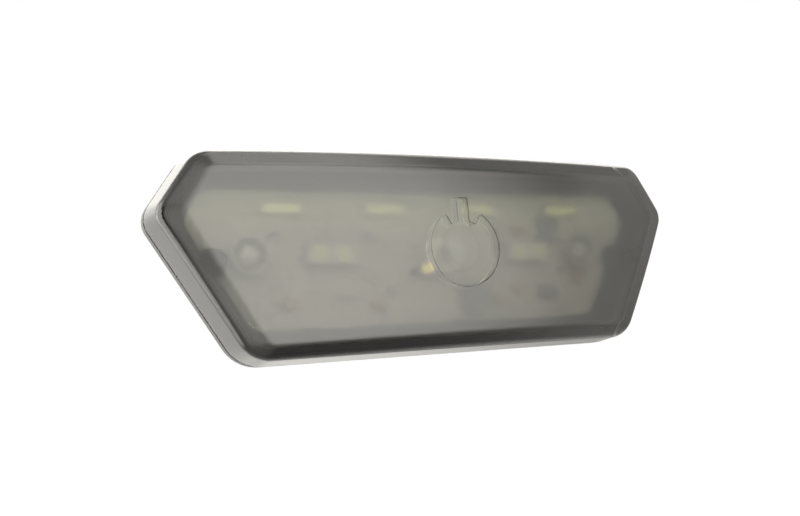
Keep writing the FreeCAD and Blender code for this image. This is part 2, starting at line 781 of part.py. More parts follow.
def make_socket():
    """Charging socket: pressed shell with solder tabs, and the tongue inside it."""
    y = board_rear_y + socket_thickness / 2
    mouth_z = tub_bottom_z + tub_wall - socket_setback
    up = Vector(0, 0, mouth_z - (tub_bottom_z - cut_room))
    outer = stadium(socket_width, socket_thickness, y)
    inner = stadium(socket_width - 2 * socket_metal, socket_thickness - 2 * socket_metal, y)
    outer.translate(up)
    inner.translate(up)
    shell = outer.extrude(Vector(0, 0, socket_length))
    shell = shell.cut(inner.extrude(Vector(0, 0, socket_length - socket_metal)))
    for side in (-1, 1):
        tab_x = socket_x + side * (socket_width - socket_tab[0]) / 2
        tab = box(tab_x, mouth_z + socket_tab_place, socket_tab[0], socket_tab[1], board_rear_y, y)
        shell = shell.fuse(tab.cut(inner.extrude(Vector(0, 0, socket_length))))
    tongue_z0 = mouth_z + tongue_setback
    tongue_z1 = mouth_z + socket_length - socket_metal
    tongue = box(socket_x, (tongue_z0 + tongue_z1) / 2, tongue_width, tongue_z1 - tongue_z0,
                 y - tongue_thickness / 2, y + tongue_thickness / 2)
    block = inner.copy()
    block.translate(Vector(0, 0, tongue_z1 - tongue_back - mouth_z))
    back = block.extrude(Vector(0, 0, tongue_back))
    return shell.removeSplitter(), tongue.fuse(back).removeSplitter()


def make_cover():
    """Rubber cover of the charging port, turning about its rolled left end."""
    y = board_rear_y + socket_thickness / 2
    top_z = tub_bottom_z - cover_gap
    hinge_x = socket_x - cover_length / 2
    low_z = top_z - cover_thickness
    sides = [(hinge_x, top_z), (hinge_x + cover_length, top_z), (hinge_x + cover_length, low_z),
             (hinge_x + cover_neck, low_z), (hinge_x, top_z - cover_thickness / 2)]
    points = [Vector(x, y - cover_width / 2, z) for x, z in sides]
    plate = Part.Face(Part.makePolygon(points + points[:1])).extrude(Vector(0, cover_width, 0))
    far = [e for e in edges_along(plate, Vector(0, 0, 1)) if e.BoundBox.XMin > socket_x]
    plate = plate.makeFillet(cover_corner_r, far)
    roll = Part.makeCylinder(cover_thickness / 2, cover_width, Vector(hinge_x, y - cover_width / 2, top_z),
                             Vector(0, 1, 0))
    plug_margin = port_clearance - cover_plug_clearance
    plug = stadium(socket_width + 2 * plug_margin, socket_thickness + 2 * plug_margin, y)
    plug.translate(Vector(0, 0, top_z - join_overlap - (tub_bottom_z - cut_room)))
    plug = plug.extrude(Vector(0, 0, cover_plug_height + join_overlap))
    tab_start = Vector(hinge_x + cover_length - cover_tab_overlap, y - cover_tab_width / 2, low_z)
    tab = Part.makeBox(cover_tab_length, cover_tab_width, cover_tab_thickness, tab_start)
    return plate.fuse([roll, plug, tab]).removeSplitter()


def make_battery():
    """Pouch cell with its sealed end, and the foam pad that holds it to the tub's floor."""
    pad_y = -tub_floor - pad_thickness
    cell_y = pad_y - cell_thickness
    cell = box(cell_centre_x, cell_centre_z, cell_length, cell_width, cell_y, pad_y)
    cell = cell.makeFillet(cell_round, edges_along(cell, Vector(1, 0, 0)))
    seal_x = cell_centre_x + cell_length / 2 + cell_seal_length / 2
    seal = box(seal_x, cell_centre_z, cell_seal_length, cell_width - 2 * cell_round,
               cell_y + lead_rise, cell_y + lead_rise + cell_seal_thickness)
    pad_length = cell_length - 2 * pad_margin
    pad_width = cell_width - 2 * pad_margin
    pad = box(cell_centre_x, cell_centre_z, pad_length, pad_width, pad_y, -tub_floor)
    return cell.fuse(seal).removeSplitter(), pad, seal_x + cell_seal_length / 2


def make_lead(start_x, z):
    """Insulated wire from the cell's sealed end, along and then down to the board's back."""
    cell_y = -tub_floor - pad_thickness - cell_thickness
    run_y = cell_y + lead_rise + cell_seal_thickness / 2
    end_x = start_x + lead_reach
    bend_start = Vector(end_x - lead_bend_r, run_y, z)
    bend_end = Vector(end_x, run_y - lead_bend_r, z)
    share = lead_bend_r * math.sqrt(0.5)
    middle = Vector(end_x - lead_bend_r + share, run_y - lead_bend_r + share, z)
    edges = [Part.makeLine(Vector(start_x, run_y, z), bend_start),
             Part.Arc(bend_start, middle, bend_end).toShape(),
             Part.makeLine(bend_end, Vector(end_x, board_rear_y, z))]
    path = Part.Wire(edges)
    section = Part.Wire([Part.makeCircle(lead_r, Vector(start_x, run_y, z), Vector(1, 0, 0))])
    tube = path.makePipeShell([section], True, False)
    expected = math.pi * lead_r ** 2 * path.Length
    print(f"lead: path {path.Length:.2f} mm, bend {lead_bend_r} mm")
    print(f"lead: volume {tube.Volume:.3f} of {expected:.3f} mm3")
    return tube


lens, lens_post_end = make_lens()
save(lens, "lens_cover")
button, button_stem_end = make_button()
save(button, "power_button")
save(make_button_seal(), "button_seal")
save(make_gasket(), "lens_gasket")
save(make_housing(lens_post_end), "rear_housing")
save(make_screws(lens_post_end), "housing_screws")
save(make_board(), "circuit_board")
led_rings, led_domes = make_end_leds()
save(led_rings, "end_led_rings")
save(led_domes, "end_led_domes")
led_bodies, led_windows = make_leds()
save(led_bodies, "main_led_bodies")
save(led_windows, "main_led_windows")
bar_bodies, bar_strips = make_bar_leds()
save(bar_bodies, "bar_led_bodies")
save(bar_strips, "bar_led_strips")
indicator_lamp, indicator_pipe = make_indicator()
save(indicator_lamp, "indicator_lamp")
save(indicator_pipe, "indicator_light_pipe")
switch_case, switch_plunger, switch_dome = make_switch(button_stem_end)
save(switch_case, "switch_case")
save(switch_plunger, "switch_plunger")
save(switch_dome, "switch_dome")
controller, charger_chip, power_coil, capacitor_group, resistor_group = make_small_parts()
save(controller, "controller_chip")
save(charger_chip, "charger_chip")
save(power_coil, "power_coil")
save(capacitor_group, "capacitors")
save(resistor_group, "resistors")
socket_shell, socket_tongue = make_socket()
save(socket_shell, "charge_socket_shell")
save(socket_tongue, "charge_socket_tongue")
save(make_cover(), "charge_port_cover")
battery, battery_pad, lead_start_x = make_battery()
save(battery, "battery_cell")
save(battery_pad, "battery_pad")
save(make_lead(lead_start_x, lead_z), "battery_lead_red")
save(make_lead(lead_start_x, -lead_z), "battery_lead_black")
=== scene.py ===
# %% [markdown]
# Helmet rear light. A long six-sided cap of smoke-tinted clear plastic covers a lit
# board. Its face curves away to both ends, a bevel runs round it, and the standby
# symbol in the middle is a key that is pressed. This lesson dresses the imported CAD
# model. The two shiny clear pieces get new, finer surfaces, because a gloss shows each
# flat of a CAD mesh. The rest is seen blurred or from behind, so it keeps its CAD shape
# and gets a finish.

# %% Load the frame
import math

import bpy
import numpy as np
from mathutils import Matrix, Vector
from mathutils.geometry import delaunay_2d_cdt


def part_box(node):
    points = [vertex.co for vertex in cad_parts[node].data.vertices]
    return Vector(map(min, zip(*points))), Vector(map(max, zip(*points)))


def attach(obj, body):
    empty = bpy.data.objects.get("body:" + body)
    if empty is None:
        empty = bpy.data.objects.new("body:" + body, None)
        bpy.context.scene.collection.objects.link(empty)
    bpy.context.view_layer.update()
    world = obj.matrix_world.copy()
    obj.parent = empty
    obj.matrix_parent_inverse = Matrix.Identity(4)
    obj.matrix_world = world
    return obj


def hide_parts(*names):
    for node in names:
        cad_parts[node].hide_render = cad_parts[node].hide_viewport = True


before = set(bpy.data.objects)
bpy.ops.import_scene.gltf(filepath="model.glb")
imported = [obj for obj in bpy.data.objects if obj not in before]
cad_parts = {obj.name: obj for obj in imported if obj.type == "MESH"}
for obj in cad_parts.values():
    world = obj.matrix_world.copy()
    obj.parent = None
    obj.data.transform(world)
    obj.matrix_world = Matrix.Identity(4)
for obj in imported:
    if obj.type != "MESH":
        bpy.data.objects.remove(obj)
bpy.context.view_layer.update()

# %% [markdown]
# The cap's outline is a rounded hexagon. One drawing could be scaled for all the loops
# inside it, but the real bevel is wider on some sides than on others. So each side
# moves inwards by its own amount, neighbouring sides are intersected for the new
# corners, and each corner is swapped for an arc. Sides and arcs always have the same
# number of points, so any two loops can be joined point to point. Sizes are those of
# the CAD model in millimetres, and they are scaled to metres when a mesh is made.

# %% Rounded outline
MM = 0.001
CORNERS = np.array([(35.6, 14.0), (41.4, 5.5), (30.1, -14.0),
                    (-30.1, -14.0), (-41.4, 5.5), (-35.6, 14.0)])
CORNER_R = np.array([4.2, 3.2, 5.2, 5.2, 3.2, 4.2])
LEAST_CORNER_R = 0.6
SIDES = len(CORNERS)
ARC_POINTS = 11
SIDE_POINTS = (9, 18, 30, 18, 9, 34)
SIDE_SWELL = 0.01


def unit(rows):
    """Each row divided by its own length."""
    return rows / np.linalg.norm(rows, axis=1)[:, None]


def moved_corners(insets):
    """Each side is a point plus a direction; two sides meet where point + run * direction agree."""
    run = unit(np.roll(CORNERS, -1, axis=0) - CORNERS)
    start = CORNERS + np.stack([run[:, 1], -run[:, 0]], axis=1) * insets[:, None]
    before, before_run = np.roll(start, 1, axis=0), np.roll(run, 1, axis=0)
    gap = start - before
    cross = before_run[:, 0] * run[:, 1] - before_run[:, 1] * run[:, 0]
    along = (gap[:, 0] * run[:, 1] - gap[:, 1] * run[:, 0]) / cross
    return before + before_run * along[:, None]


def outline(inset, radii=None, bevels=0.0):
    """Rounded hexagon as rows of x, z. An arc turns a unit vector from one tangent point's side
    to the other's: (sin((1-t)a) * u + sin(ta) * v) / sin(a), times the radius, about its centre.
    A side swells by 4s(1-s) times a hair, because points exactly in line can't be made into triangles."""
    points = moved_corners(np.zeros(SIDES) + inset + bevels)
    radii = np.maximum(CORNER_R - inset, LEAST_CORNER_R) if radii is None else np.full(SIDES, radii)
    to_before = unit(np.roll(points, 1, axis=0) - points)
    to_after = unit(np.roll(points, -1, axis=0) - points)
    half = np.arccos(np.sum(to_before * to_after, axis=1)) / 2
    centre = points + unit(to_before + to_after) * (radii / np.sin(half))[:, None]
    first = points + to_before * (radii / np.tan(half))[:, None]
    last = points + to_after * (radii / np.tan(half))[:, None]
    turn = (math.pi - 2 * half)[:, None, None]
    t = np.linspace(0, 1, ARC_POINTS)[None, :, None]
    u = ((first - centre) / radii[:, None])[:, None, :]
    v = ((last - centre) / radii[:, None])[:, None, :]
    arcs = (np.sin((1 - t) * turn) * u + np.sin(t * turn) * v) / np.sin(turn)
    arcs = arcs * radii[:, None, None] + centre[:, None, :]
    rows = []
    for i, count in enumerate(SIDE_POINTS):
        s = np.linspace(0, 1, count + 2)[1:-1, None]
        here, there = last[i], first[(i + 1) % SIDES]
        across = there - here
        square = np.array([across[1], -across[0]]) / np.linalg.norm(across)
        rows += [arcs[i], here * (1 - s) + there * s - square * 4 * s * (1 - s) * SIDE_SWELL]
    return np.concatenate(rows)


print("points in a loop:", len(outline(0.0)))

# %% [markdown]
# The real face isn't flat: it falls away as a large circle to both ends, and a little
# up and down as well, and the bevel and the rim follow it. A loop is flat when it is
# drawn, and is then laid on such a curved surface, so every loop keeps its outline
# as seen from in front.

# %% Curved surfaces
CROWN_Y = -17.0
FACE_RADIUS = 192.0
CROWN_RADIUS = 182.0
RIM_RADIUS = 232.0


def depth(xz, front_y, side_radius, crown=None):
    """How far back a surface lies: front + R - sqrt((R - drop)(R - drop) - x * x), where R is the side
    radius and drop, crown - sqrt(crown * crown - z * z), is how far the crown falls up or down."""
    x, z = xz[..., 0], xz[..., 1]
    drop = crown - np.sqrt(crown ** 2 - z ** 2) if crown else 0.0
    return front_y + side_radius - np.sqrt((side_radius - drop) ** 2 - x ** 2)


def on_surface(xz, *surface):
    """Rows of x, y, z: the outline laid on a curved surface."""
    return np.stack([xz[..., 0], depth(xz, *surface), xz[..., 1]], axis=-1)


def on_face(xz, back):
    """The outline laid on the face's own curve, moved back from it."""
    return on_surface(xz, CROWN_Y + back, FACE_RADIUS, CROWN_RADIUS)


print("the face falls back", np.ptp(on_face(outline(0.0), 0.0)[:, 1]).round(2), "mm along its outline")

# %% [markdown]
# A moulded cap has no sharp edges. A Bevel modifier could round them, but the edges
# here have different radii and curved neighbours. So where two bands of the profile
# meet, the edge loop is replaced by a few rows along a small curve, with one more row
# close to it on each side. Smooth shading then stays flat on the bands and turns only
# in the edge.

# %% Rounded rows
ROUND_STEPS = 6
ROUND_ROWS = ROUND_STEPS + 2
NEAR_ROW = 1.35


def rounded_rows(chain, radii):
    """Rows along a chain of loops. At a loop K between A and B, a curve of the second degree,
    (1-t)(1-t)P + 2t(1-t)K + ttQ, with P and Q the rounding radius away from K, replaces it."""
    rows = [chain[0]]
    for before, here, after, radius in zip(chain, chain[1:], chain[2:], radii):
        back, ahead = unit(before - here), unit(after - here)
        p, q = here + back * radius, here + ahead * radius
        rows.append(here + back * radius * NEAR_ROW)
        rows += [(1 - t) ** 2 * p + 2 * t * (1 - t) * here + t * t * q
                 for t in np.linspace(0, 1, ROUND_STEPS)]
        rows.append(here + ahead * radius * NEAR_ROW)
    return rows + [chain[-1]]


def band_faces(first, second, count):
    """Quads between two closed rows whose points start at the numbers first and second."""
    i = np.arange(count)
    j = (i + 1) % count
    return np.stack([first + i, first + j, second + j, second + i], axis=1)


def tube_faces(start, rows, count):
    """Quads between each of several closed rows and the next, with the first row's points from start on."""
    starts = start + np.arange(rows) * count
    return np.concatenate([band_faces(a, b, count) for a, b in zip(starts, starts[1:])])


print("rows for a rounded edge:", ROUND_ROWS)

# %% [markdown]
# The face is one smooth sheet with a hole in the shape of the symbol. A single
# many-sided polygon would shade badly on a curve. So the space between the outline and
# the hole gets a grid of points, and all of them are joined by triangles that keep
# the loops as edges.

# %% Filling a face
TINY = 1e-12
LEAST_AREA = 1e-6
MERGE_WITHIN = 1e-7
AS_TRIANGLES = 0


def inside(points, loop):
    """Even-odd rule: a point is inside when a ray to the right crosses the loop an odd number of times."""
    a, b = loop, np.roll(loop, -1, axis=0)
    px, pz = points[:, None, 0], points[:, None, 1]
    crosses = (a[None, :, 1] > pz) != (b[None, :, 1] > pz)
    rise = np.where(b[:, 1] == a[:, 1], TINY, b[:, 1] - a[:, 1])
    at = a[None, :, 0] + (pz - a[None, :, 1]) * ((b[:, 0] - a[:, 0]) / rise)[None, :]
    return (np.sum(crosses & (px < at), axis=1) % 2) == 1


def between(points, loops):
    """Inside the first loop and outside the others."""
    keep = inside(points, loops[0])
    for hole in loops[1:]:
        keep &= ~inside(points, hole)
    return keep


def away_from(points, loop):
    """Distance to a closed line. The nearest place on its side a-b is a + t(b - a), with t clipped
    to 0 and 1."""
    run = np.roll(loop, -1, axis=0) - loop
    past = points[:, None, :] - loop[None, :, :]
    t = np.clip(np.sum(past * run, axis=2) / np.maximum(np.sum(run * run, axis=1), TINY), 0, 1)
    return np.min(np.linalg.norm(past - t[..., None] * run, axis=2), axis=1)


def filled(loops, step, clear):
    """Triangles between an outer loop and the holes after it, with a grid of points in the space between.
    The loops' own points come first in the result, so that bands can be joined to them."""
    low, high = loops[0].min(axis=0), loops[0].max(axis=0)
    gx, gz = np.meshgrid(np.arange(low[0], high[0], step), np.arange(low[1], high[1], step))
    grid = np.stack([gx.ravel(), gz.ravel()], axis=1)
    keep = between(grid, loops)
    for loop in loops:
        keep &= away_from(grid, loop) > clear
    points = np.concatenate(loops + [grid[keep]])
    edges, start = [], 0
    for loop in loops:
        i = np.arange(len(loop))
        edges.append(start + np.stack([i, (i + 1) % len(loop)], axis=1))
        start += len(loop)
    made = delaunay_2d_cdt(points.tolist(), np.concatenate(edges).tolist(), [], AS_TRIANGLES, MERGE_WITHIN)
    got, tris = np.array(made[0]), np.array(made[2])
    keep = between(got[tris].mean(axis=1), loops)
    a, b, c = (got[tris[:, k]] for k in range(3))
    area = (b[:, 0] - a[:, 0]) * (c[:, 1] - a[:, 1]) - (b[:, 1] - a[:, 1]) * (c[:, 0] - a[:, 0])
    tris[area < 0] = tris[area < 0][:, ::-1]
    return got, tris[keep & (np.abs(area) > LEAST_AREA)]


def numbered(tris, start, count, total, turned):
    """A filling's triangles in the whole shell's numbers. The shell has the outer loop's points, count of
    them, from start on, and the filling's other points follow its total. A back is turned over."""
    tris = np.where(tris < count, tris + start, tris + total - count)
    return tris[:, ::-1] if turned else tris


print("triangles in a filled outline:", len(filled([outline(0.0)], 2.0, 1.0)[1]))

# %% [markdown]
# Clear plastic has to be a closed solid whose faces point outwards, or light would
# bend the wrong way in it. So each shell's volume is worked out, and a shell that comes
# out below nought is turned over. A piece is then one mesh in metres at the origin,
# with its place in its points, and it rides on a body of the CAD model.

# %% Making a piece
SHARP_DEG = 50.0


def outward(points, quads, tris):
    """The same faces, all turned over if the volume, a sixth of the sum of a.(b x c), is below nought."""
    fans = np.concatenate([quads[:, [0, 1, 2]], quads[:, [0, 2, 3]], tris])
    a, b, c = (points[fans[:, k]] for k in range(3))
    volume = np.sum(a * np.cross(b, c)) / 6
    return (quads, tris, volume) if volume > 0 else (quads[:, ::-1], tris[:, ::-1], -volume)


def make_piece(name, shells, body, materials):
    """One smooth mesh that rides on a CAD body. Each shell is points, quads, triangles and the
    material numbers of both; shells are closed and turned outwards one by one."""
    points, quads, tris, kinds, start = [], [], [], [[], []], 0
    for shell_points, shell_quads, shell_tris, quad_kinds, tri_kinds in shells:
        turned_quads, turned_tris, volume = outward(shell_points, shell_quads, shell_tris)
        points.append(shell_points)
        quads.append(turned_quads + start)
        tris.append(turned_tris + start)
        kinds[0].append(quad_kinds)
        kinds[1].append(tri_kinds)
        start += len(shell_points)
        print(f"{name}: shell of {len(shell_points)} points, {volume:.1f} mm3")
    mesh = bpy.data.meshes.new(name)
    faces = np.concatenate(quads).tolist() + np.concatenate(tris).tolist()
    mesh.from_pydata((np.concatenate(points) * MM).tolist(), [], faces)
    for material in materials:
        mesh.materials.append(material)
    mesh.polygons.foreach_set("material_index", np.concatenate(kinds[0] + kinds[1]).astype(np.int32))
    mesh.polygons.foreach_set("use_smooth", np.ones(len(faces), dtype=bool))
    mesh.update()
    mesh.set_sharp_from_angle(angle=math.radians(SHARP_DEG))
    piece = bpy.data.objects.new(name, mesh)
    bpy.context.scene.collection.objects.link(piece)
    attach(piece, body)
    return piece


print("edges that turn by more than", SHARP_DEG, "degrees stay sharp")

# %% [markdown]
# On the real light the standby symbol is the key itself: a ring that is open at the
# top, a bar that stands in the opening, and the disc inside the ring. Three outlines
# could be united, but one loop that goes round all three is simpler and fits the hole
# in the lens exactly. It is sampled densely and then averaged with its neighbours,
# which rounds its corners a little, as a moulding tool does.

# %% Symbol outline
RING_R = 5.35
DISC_R = 3.65
STROKE = 1.7
GAP_DEG = 31.0
BAR_TOP = 6.9
LOOP_POINTS = 300
OVERSAMPLE = 4
SOFT_POINTS = 5
LONG_ARC_SAMPLES = 240
SHORT_ARC_SAMPLES = 20


def polar(radius, low_deg, high_deg, samples):
    """Points of an arc, (r sin a, r cos a), with the angle counted from straight up, towards the right."""
    a = np.radians(np.linspace(low_deg, high_deg, samples))
    return np.stack([radius * np.sin(a), radius * np.cos(a)], axis=-1)


def resampled(points, count):
    """The closed line through the points, cut into equal steps of its own length."""
    closed = np.concatenate([points, points[:1]])
    run = np.concatenate([[0], np.cumsum(np.linalg.norm(np.diff(closed, axis=0), axis=1))])
    at = np.linspace(0, run[-1], count, endpoint=False)
    return np.stack([np.interp(at, run, closed[:, k]) for k in (0, 1)], axis=1)


def symbol_loop(grow=0.0):
    """Ring arc, in to the disc, disc arc, up and down the bar, disc arc, and out to the ring again."""
    ring, disc, half = RING_R + grow, DISC_R + grow, STROKE / 2 + grow
    gap = GAP_DEG - math.degrees(grow / RING_R)
    foot = math.degrees(math.asin(half / disc))
    foot_z = math.sqrt(disc ** 2 - half ** 2)
    top = BAR_TOP + grow
    parts = [polar(ring, gap, 360 - gap, LONG_ARC_SAMPLES), polar(disc, -gap, -foot, SHORT_ARC_SAMPLES),
             np.array([(-half, foot_z), (-half, top), (half, top), (half, foot_z)]),
             polar(disc, foot, gap, SHORT_ARC_SAMPLES)]
    loop = resampled(np.concatenate(parts), LOOP_POINTS * OVERSAMPLE)
    kernel = np.hanning(OVERSAMPLE * SOFT_POINTS + 3)[1:-1]
    kernel /= kernel.sum()
    reach = len(kernel) // 2
    padded = np.concatenate([loop[-reach:], loop, loop[:reach]])
    loop = np.stack([np.convolve(padded[:, k], kernel, mode="valid") for k in (0, 1)], axis=1)
    return loop[::OVERSAMPLE]


print("symbol is", np.ptp(symbol_loop(), axis=0).round(2), "mm across")

# %% [markdown]
# The cap is a moulded shell: its face, a bevel all round and side walls that lean in
# a little so that it leaves its mould. It could be a solid with a Solidify modifier,
# but that makes the wall uneven at a bevel. So its profile is drawn as two chains of
# four loops. The outer one has the rear rim, the shoulder where the wall meets the
# bevel, the edge where the bevel meets the face, and a loop a little way in on the
# face. The inner one is the same, one wall thickness further in.

# %% Profile of the cap
LENS_REAR_Y = -10.35
WALL = 1.6
WALL_LEAN = 0.66
BEVEL_DEPTH = 1.4
BEVEL_UPPER, BEVEL_LOWER, BEVEL_BOTTOM, BEVEL_TOP = 2.6, 2.9, 1.75, 2.3
BEVELS = np.array([BEVEL_UPPER, BEVEL_LOWER, BEVEL_BOTTOM, BEVEL_LOWER, BEVEL_UPPER, BEVEL_TOP])
BEVEL_ANGLE = math.atan2(BEVEL_DEPTH, (BEVEL_TOP + BEVEL_BOTTOM + BEVEL_UPPER + BEVEL_LOWER) / 4)
WALL_ANGLE = math.pi / 2 - math.atan2(WALL_LEAN, LENS_REAR_Y - CROWN_Y - BEVEL_DEPTH)
FACE_CORNER_R = 1.3
LEAST_FACE_CORNER_R = 0.5
CORNER_CLOSING = 0.25
FACE_STRIP = 1.3


def edge_shift(angle_a, angle_b):
    """An edge between two faces moves by wall * (a + b) / (1 + a.b) when both faces move in by the wall."""
    a = np.array([math.sin(angle_a), math.cos(angle_a)])
    b = np.array([math.sin(angle_b), math.cos(angle_b)])
    return WALL * (a + b) / (1 + a @ b)


def face_edge(extra):
    """The loop where the bevel meets the face, moved further in, with corners that get tighter there."""
    radius = max(FACE_CORNER_R - extra * CORNER_CLOSING, LEAST_FACE_CORNER_R)
    return outline(WALL_LEAN + extra, radius, BEVELS)


def half_profile(wall_in, edge_in, edge_back, face_in, face_back):
    """One chain of loops from the rear rim to the face, moved in and back by the amounts given."""
    shoulder = (CROWN_Y + BEVEL_DEPTH + edge_back, RIM_RADIUS, CROWN_RADIUS)
    return [on_surface(outline(wall_in), LENS_REAR_Y, RIM_RADIUS),
            on_surface(outline(WALL_LEAN + edge_in), *shoulder),
            on_face(face_edge(face_in), face_back),
            on_face(face_edge(face_in + FACE_STRIP), face_back)]


face_in, face_back = edge_shift(0.0, BEVEL_ANGLE)
edge_in, edge_back = edge_shift(BEVEL_ANGLE, WALL_ANGLE)
outer_chain = half_profile(0.0, 0.0, 0.0, 0.0, 0.0)
inner_chain = half_profile(WALL, edge_in, edge_back, face_in, face_back)
print("the inner shoulder lies", edge_in.round(2), "mm further in and", edge_back.round(2), "mm further back")

# %% [markdown]
# The chains become one closed shell: face, bevel, side wall, rear rim, inner wall,
# inner bevel and inner face, and the hole's wall, which joins the two faces. Each part
# of it looks different on the real cap, so the bands get different materials. A
# narrow band at the front of the hole's wall is painted near black, a painted shade for
# the dark joint round the key.

# %% Shell of the cap
FACE, FROSTED, SIDE, PAINTED_SHADE, CLEAR, BEVEL, POST = range(7)
OUTER_ROUNDING = (0.12, 0.75, 0.5)  # rim, shoulder and face edge
INNER_ROUNDING = (0.5, 0.4)  # inner shoulder and inner face's edge
KEY_GAP = 0.03
JOINT_SHADE_DEPTH = 0.12
FACE_GRID = 1.2
FACE_GRID_CLEAR = 0.45


def lens_shell():
    """Closed cap: the outer rows from the face to the rim, the inner rows, the two faces, and the hole's
    wall. The bands change their material in the shoulder, at the rim, in the inner shoulder and in the
    inner face's edge."""
    outer_rows = rounded_rows([inner_chain[0]] + outer_chain, OUTER_ROUNDING)
    rows = outer_rows[::-1] + rounded_rows(inner_chain, INNER_ROUNDING)[1:]
    count, rim = len(rows[0]), len(outer_rows)
    band = np.arange(len(rows) - 1)
    ends = (2 * ROUND_ROWS - 2, rim - 2, rim + 3, rim + ROUND_ROWS + 4)
    # the bands over the rim and the inner wall carry near-black painted shade
    band_kinds = np.select([band < end for end in ends], [FACE, SIDE, PAINTED_SHADE, BEVEL], FROSTED)
    hole = symbol_loop(KEY_GAP)
    points, tris, tri_kinds, hole_starts = [np.concatenate(rows)], [], [], []
    total = len(points[0])
    for row, back, start, kind in ((0, 0.0, 0, FACE), (-1, face_back, total - count, FROSTED)):
        flat, made = filled([rows[row][:, [0, 2]], hole], FACE_GRID, FACE_GRID_CLEAR)
        points.append(on_face(flat, back)[count:])
        tris.append(numbered(made, start, count, total, kind == FROSTED))
        tri_kinds.append(np.full(len(made), kind))
        hole_starts.append(total)
        total += len(flat) - count
    # the hole's wall carries painted shade from the face back to this depth
    points.append(on_face(hole, JOINT_SHADE_DEPTH))
    quads = [tube_faces(0, len(rows), count), band_faces(hole_starts[1], total, len(hole)),
             band_faces(total, hole_starts[0], len(hole))]
    quad_kinds = [np.repeat(band_kinds, count), np.full(len(hole), CLEAR), np.full(len(hole), PAINTED_SHADE)]
    return (np.concatenate(points), np.concatenate(quads), np.concatenate(tris),
            np.concatenate(quad_kinds), np.concatenate(tri_kinds))


cap_shell = lens_shell()
print("cap:", len(cap_shell[1]), "quads and", len(cap_shell[2]), "triangles")

# %% [markdown]
# Two posts stand inside the cap's ends, and the housing's screws bite into them. They
# could be cylinders, but a profile turned about a line, as on a lathe, gives the bore
# and the chamfers at once. A real post grows out of the wall. This one is a stub 1.5 mm
# behind it, and its bore runs on to the screw's tip, so it cuts the cap's inside.

# %% Screw posts
POST_PLACE = (33.2, -0.6)
POST_BACK = 1.5
POST_R = 1.75
POST_CHAMFER = 0.35
POST_END_Y = -10.2
POST_END_CHAMFER = (0.1, 0.2)
BORE_R = 0.88
BORE_MOUTH = (0.07, 0.1)
BORE_END_Y = -13.8
LATHE_SIDES = 40


def lathe(profile, centre, kind):
    """Closed surface of revolution about a line along Y: a profile point (r, y) goes round as
    (r cos a, y, r sin a), and the first and last points, which lie on the line, are tips."""
    profile = np.asarray(profile, float)
    a = np.linspace(0, 2 * math.pi, LATHE_SIDES, endpoint=False)
    ring = profile[1:-1]
    body = np.stack([ring[:, :1] * np.cos(a), ring[:, 1:] + 0 * a, ring[:, :1] * np.sin(a)], axis=-1)
    tips = np.array([(0, profile[0, 1], 0), (0, profile[-1, 1], 0)])
    points = np.concatenate([tips, body.reshape(-1, 3)]) + np.array([centre[0], 0, centre[1]])
    quads = tube_faces(2, len(ring), LATHE_SIDES)
    i, last = np.arange(LATHE_SIDES), 2 + (len(ring) - 1) * LATHE_SIDES
    j = (i + 1) % LATHE_SIDES
    tris = np.concatenate([np.stack([0 * i, 2 + j, 2 + i], axis=1),
                           np.stack([0 * i + 1, last + i, last + j], axis=1)])
    return points, quads, tris, np.full(len(quads), kind), np.full(len(tris), kind)


def post_shell(side):
    """Screw post: a stub clear of the cap's inside, whose bore runs on through its front to
    the screw's tip."""
    x, z = side * POST_PLACE[0], POST_PLACE[1]
    front = on_face(np.array([x, z]), WALL + POST_BACK)[1]
    profile = [(0, front), (POST_R - POST_CHAMFER, front), (POST_R, front + POST_CHAMFER),
               (POST_R, POST_END_Y - POST_END_CHAMFER[1]), (POST_R - POST_END_CHAMFER[0], POST_END_Y),
               (BORE_R + BORE_MOUTH[0], POST_END_Y), (BORE_R, POST_END_Y - BORE_MOUTH[1]),
               (BORE_R, BORE_END_Y), (0, BORE_END_Y)]
    return lathe(profile, (x, z), POST)


posts = [post_shell(-1), post_shell(1)]
print("posts start at y =", [round(float(post[0][0, 1]), 2) for post in posts])

# %% [markdown]
# The key's ring and bar stand a hair proud of its disc, which is what shows the symbol
# on a clear key. They could be separate bodies, but then the joints between them would
# show in the plastic. So the key's front is a height map: the curved lens surface,
# lifted where the symbol is.

# %% Height of the symbol
RING_LIFT = 0.02
RING_SLOPE = 0.3
BAR_LIFT = 0.05
BAR_SLOPE = 0.1
BAR_BOTTOM = 2.65


def eased(value, low, high):
    """Smooth step: 3tt - 2ttt, with t the value's share of the way from low to high."""
    t = np.clip((value - low) / (high - low), 0, 1)
    return t * t * (3 - 2 * t)


def symbol_lift(xz):
    """Height of the front in millimetres: the ring stands up a little, with a soft step, and the bar
    more, with a crisp one. Only points inside the key are lifted, so its outline stays flush."""
    ring = RING_LIFT * eased(np.hypot(xz[:, 0], xz[:, 1]), DISC_R - RING_SLOPE, DISC_R + RING_SLOPE)
    across = eased(STROKE / 2 + BAR_SLOPE - np.abs(xz[:, 0]), 0, 2 * BAR_SLOPE)
    bar = BAR_LIFT * across * eased(xz[:, 1] - BAR_BOTTOM, -BAR_SLOPE, BAR_SLOPE)
    return np.maximum(ring, bar)


heights = symbol_lift(np.array([(RING_R, 0.0), (0.0, BAR_TOP)]))
print("the ring and the bar stand up by", heights.round(3), "mm")

# %% [markdown]
# The key sits in the lens's hole, and a flange behind the lens keeps it from falling
# out. Both are plates of an odd outline. An extrusion would give them flat ends, which
# would stand away from the curved lens. So each of their rows is laid on the face's
# curve, and the ends are filled as the lens's face is.

# %% Plates
BACK_GRID = 0.8
GRID_CLEAR = 0.6
FRONT_BANDS = 2


def moved_loop(loop, grow):
    """Each point moved outwards, square to the line between its two neighbours."""
    run = unit(np.roll(loop, -1, axis=0) - np.roll(loop, 1, axis=0))
    return loop + np.stack([-run[:, 1], run[:, 0]], axis=1) * grow


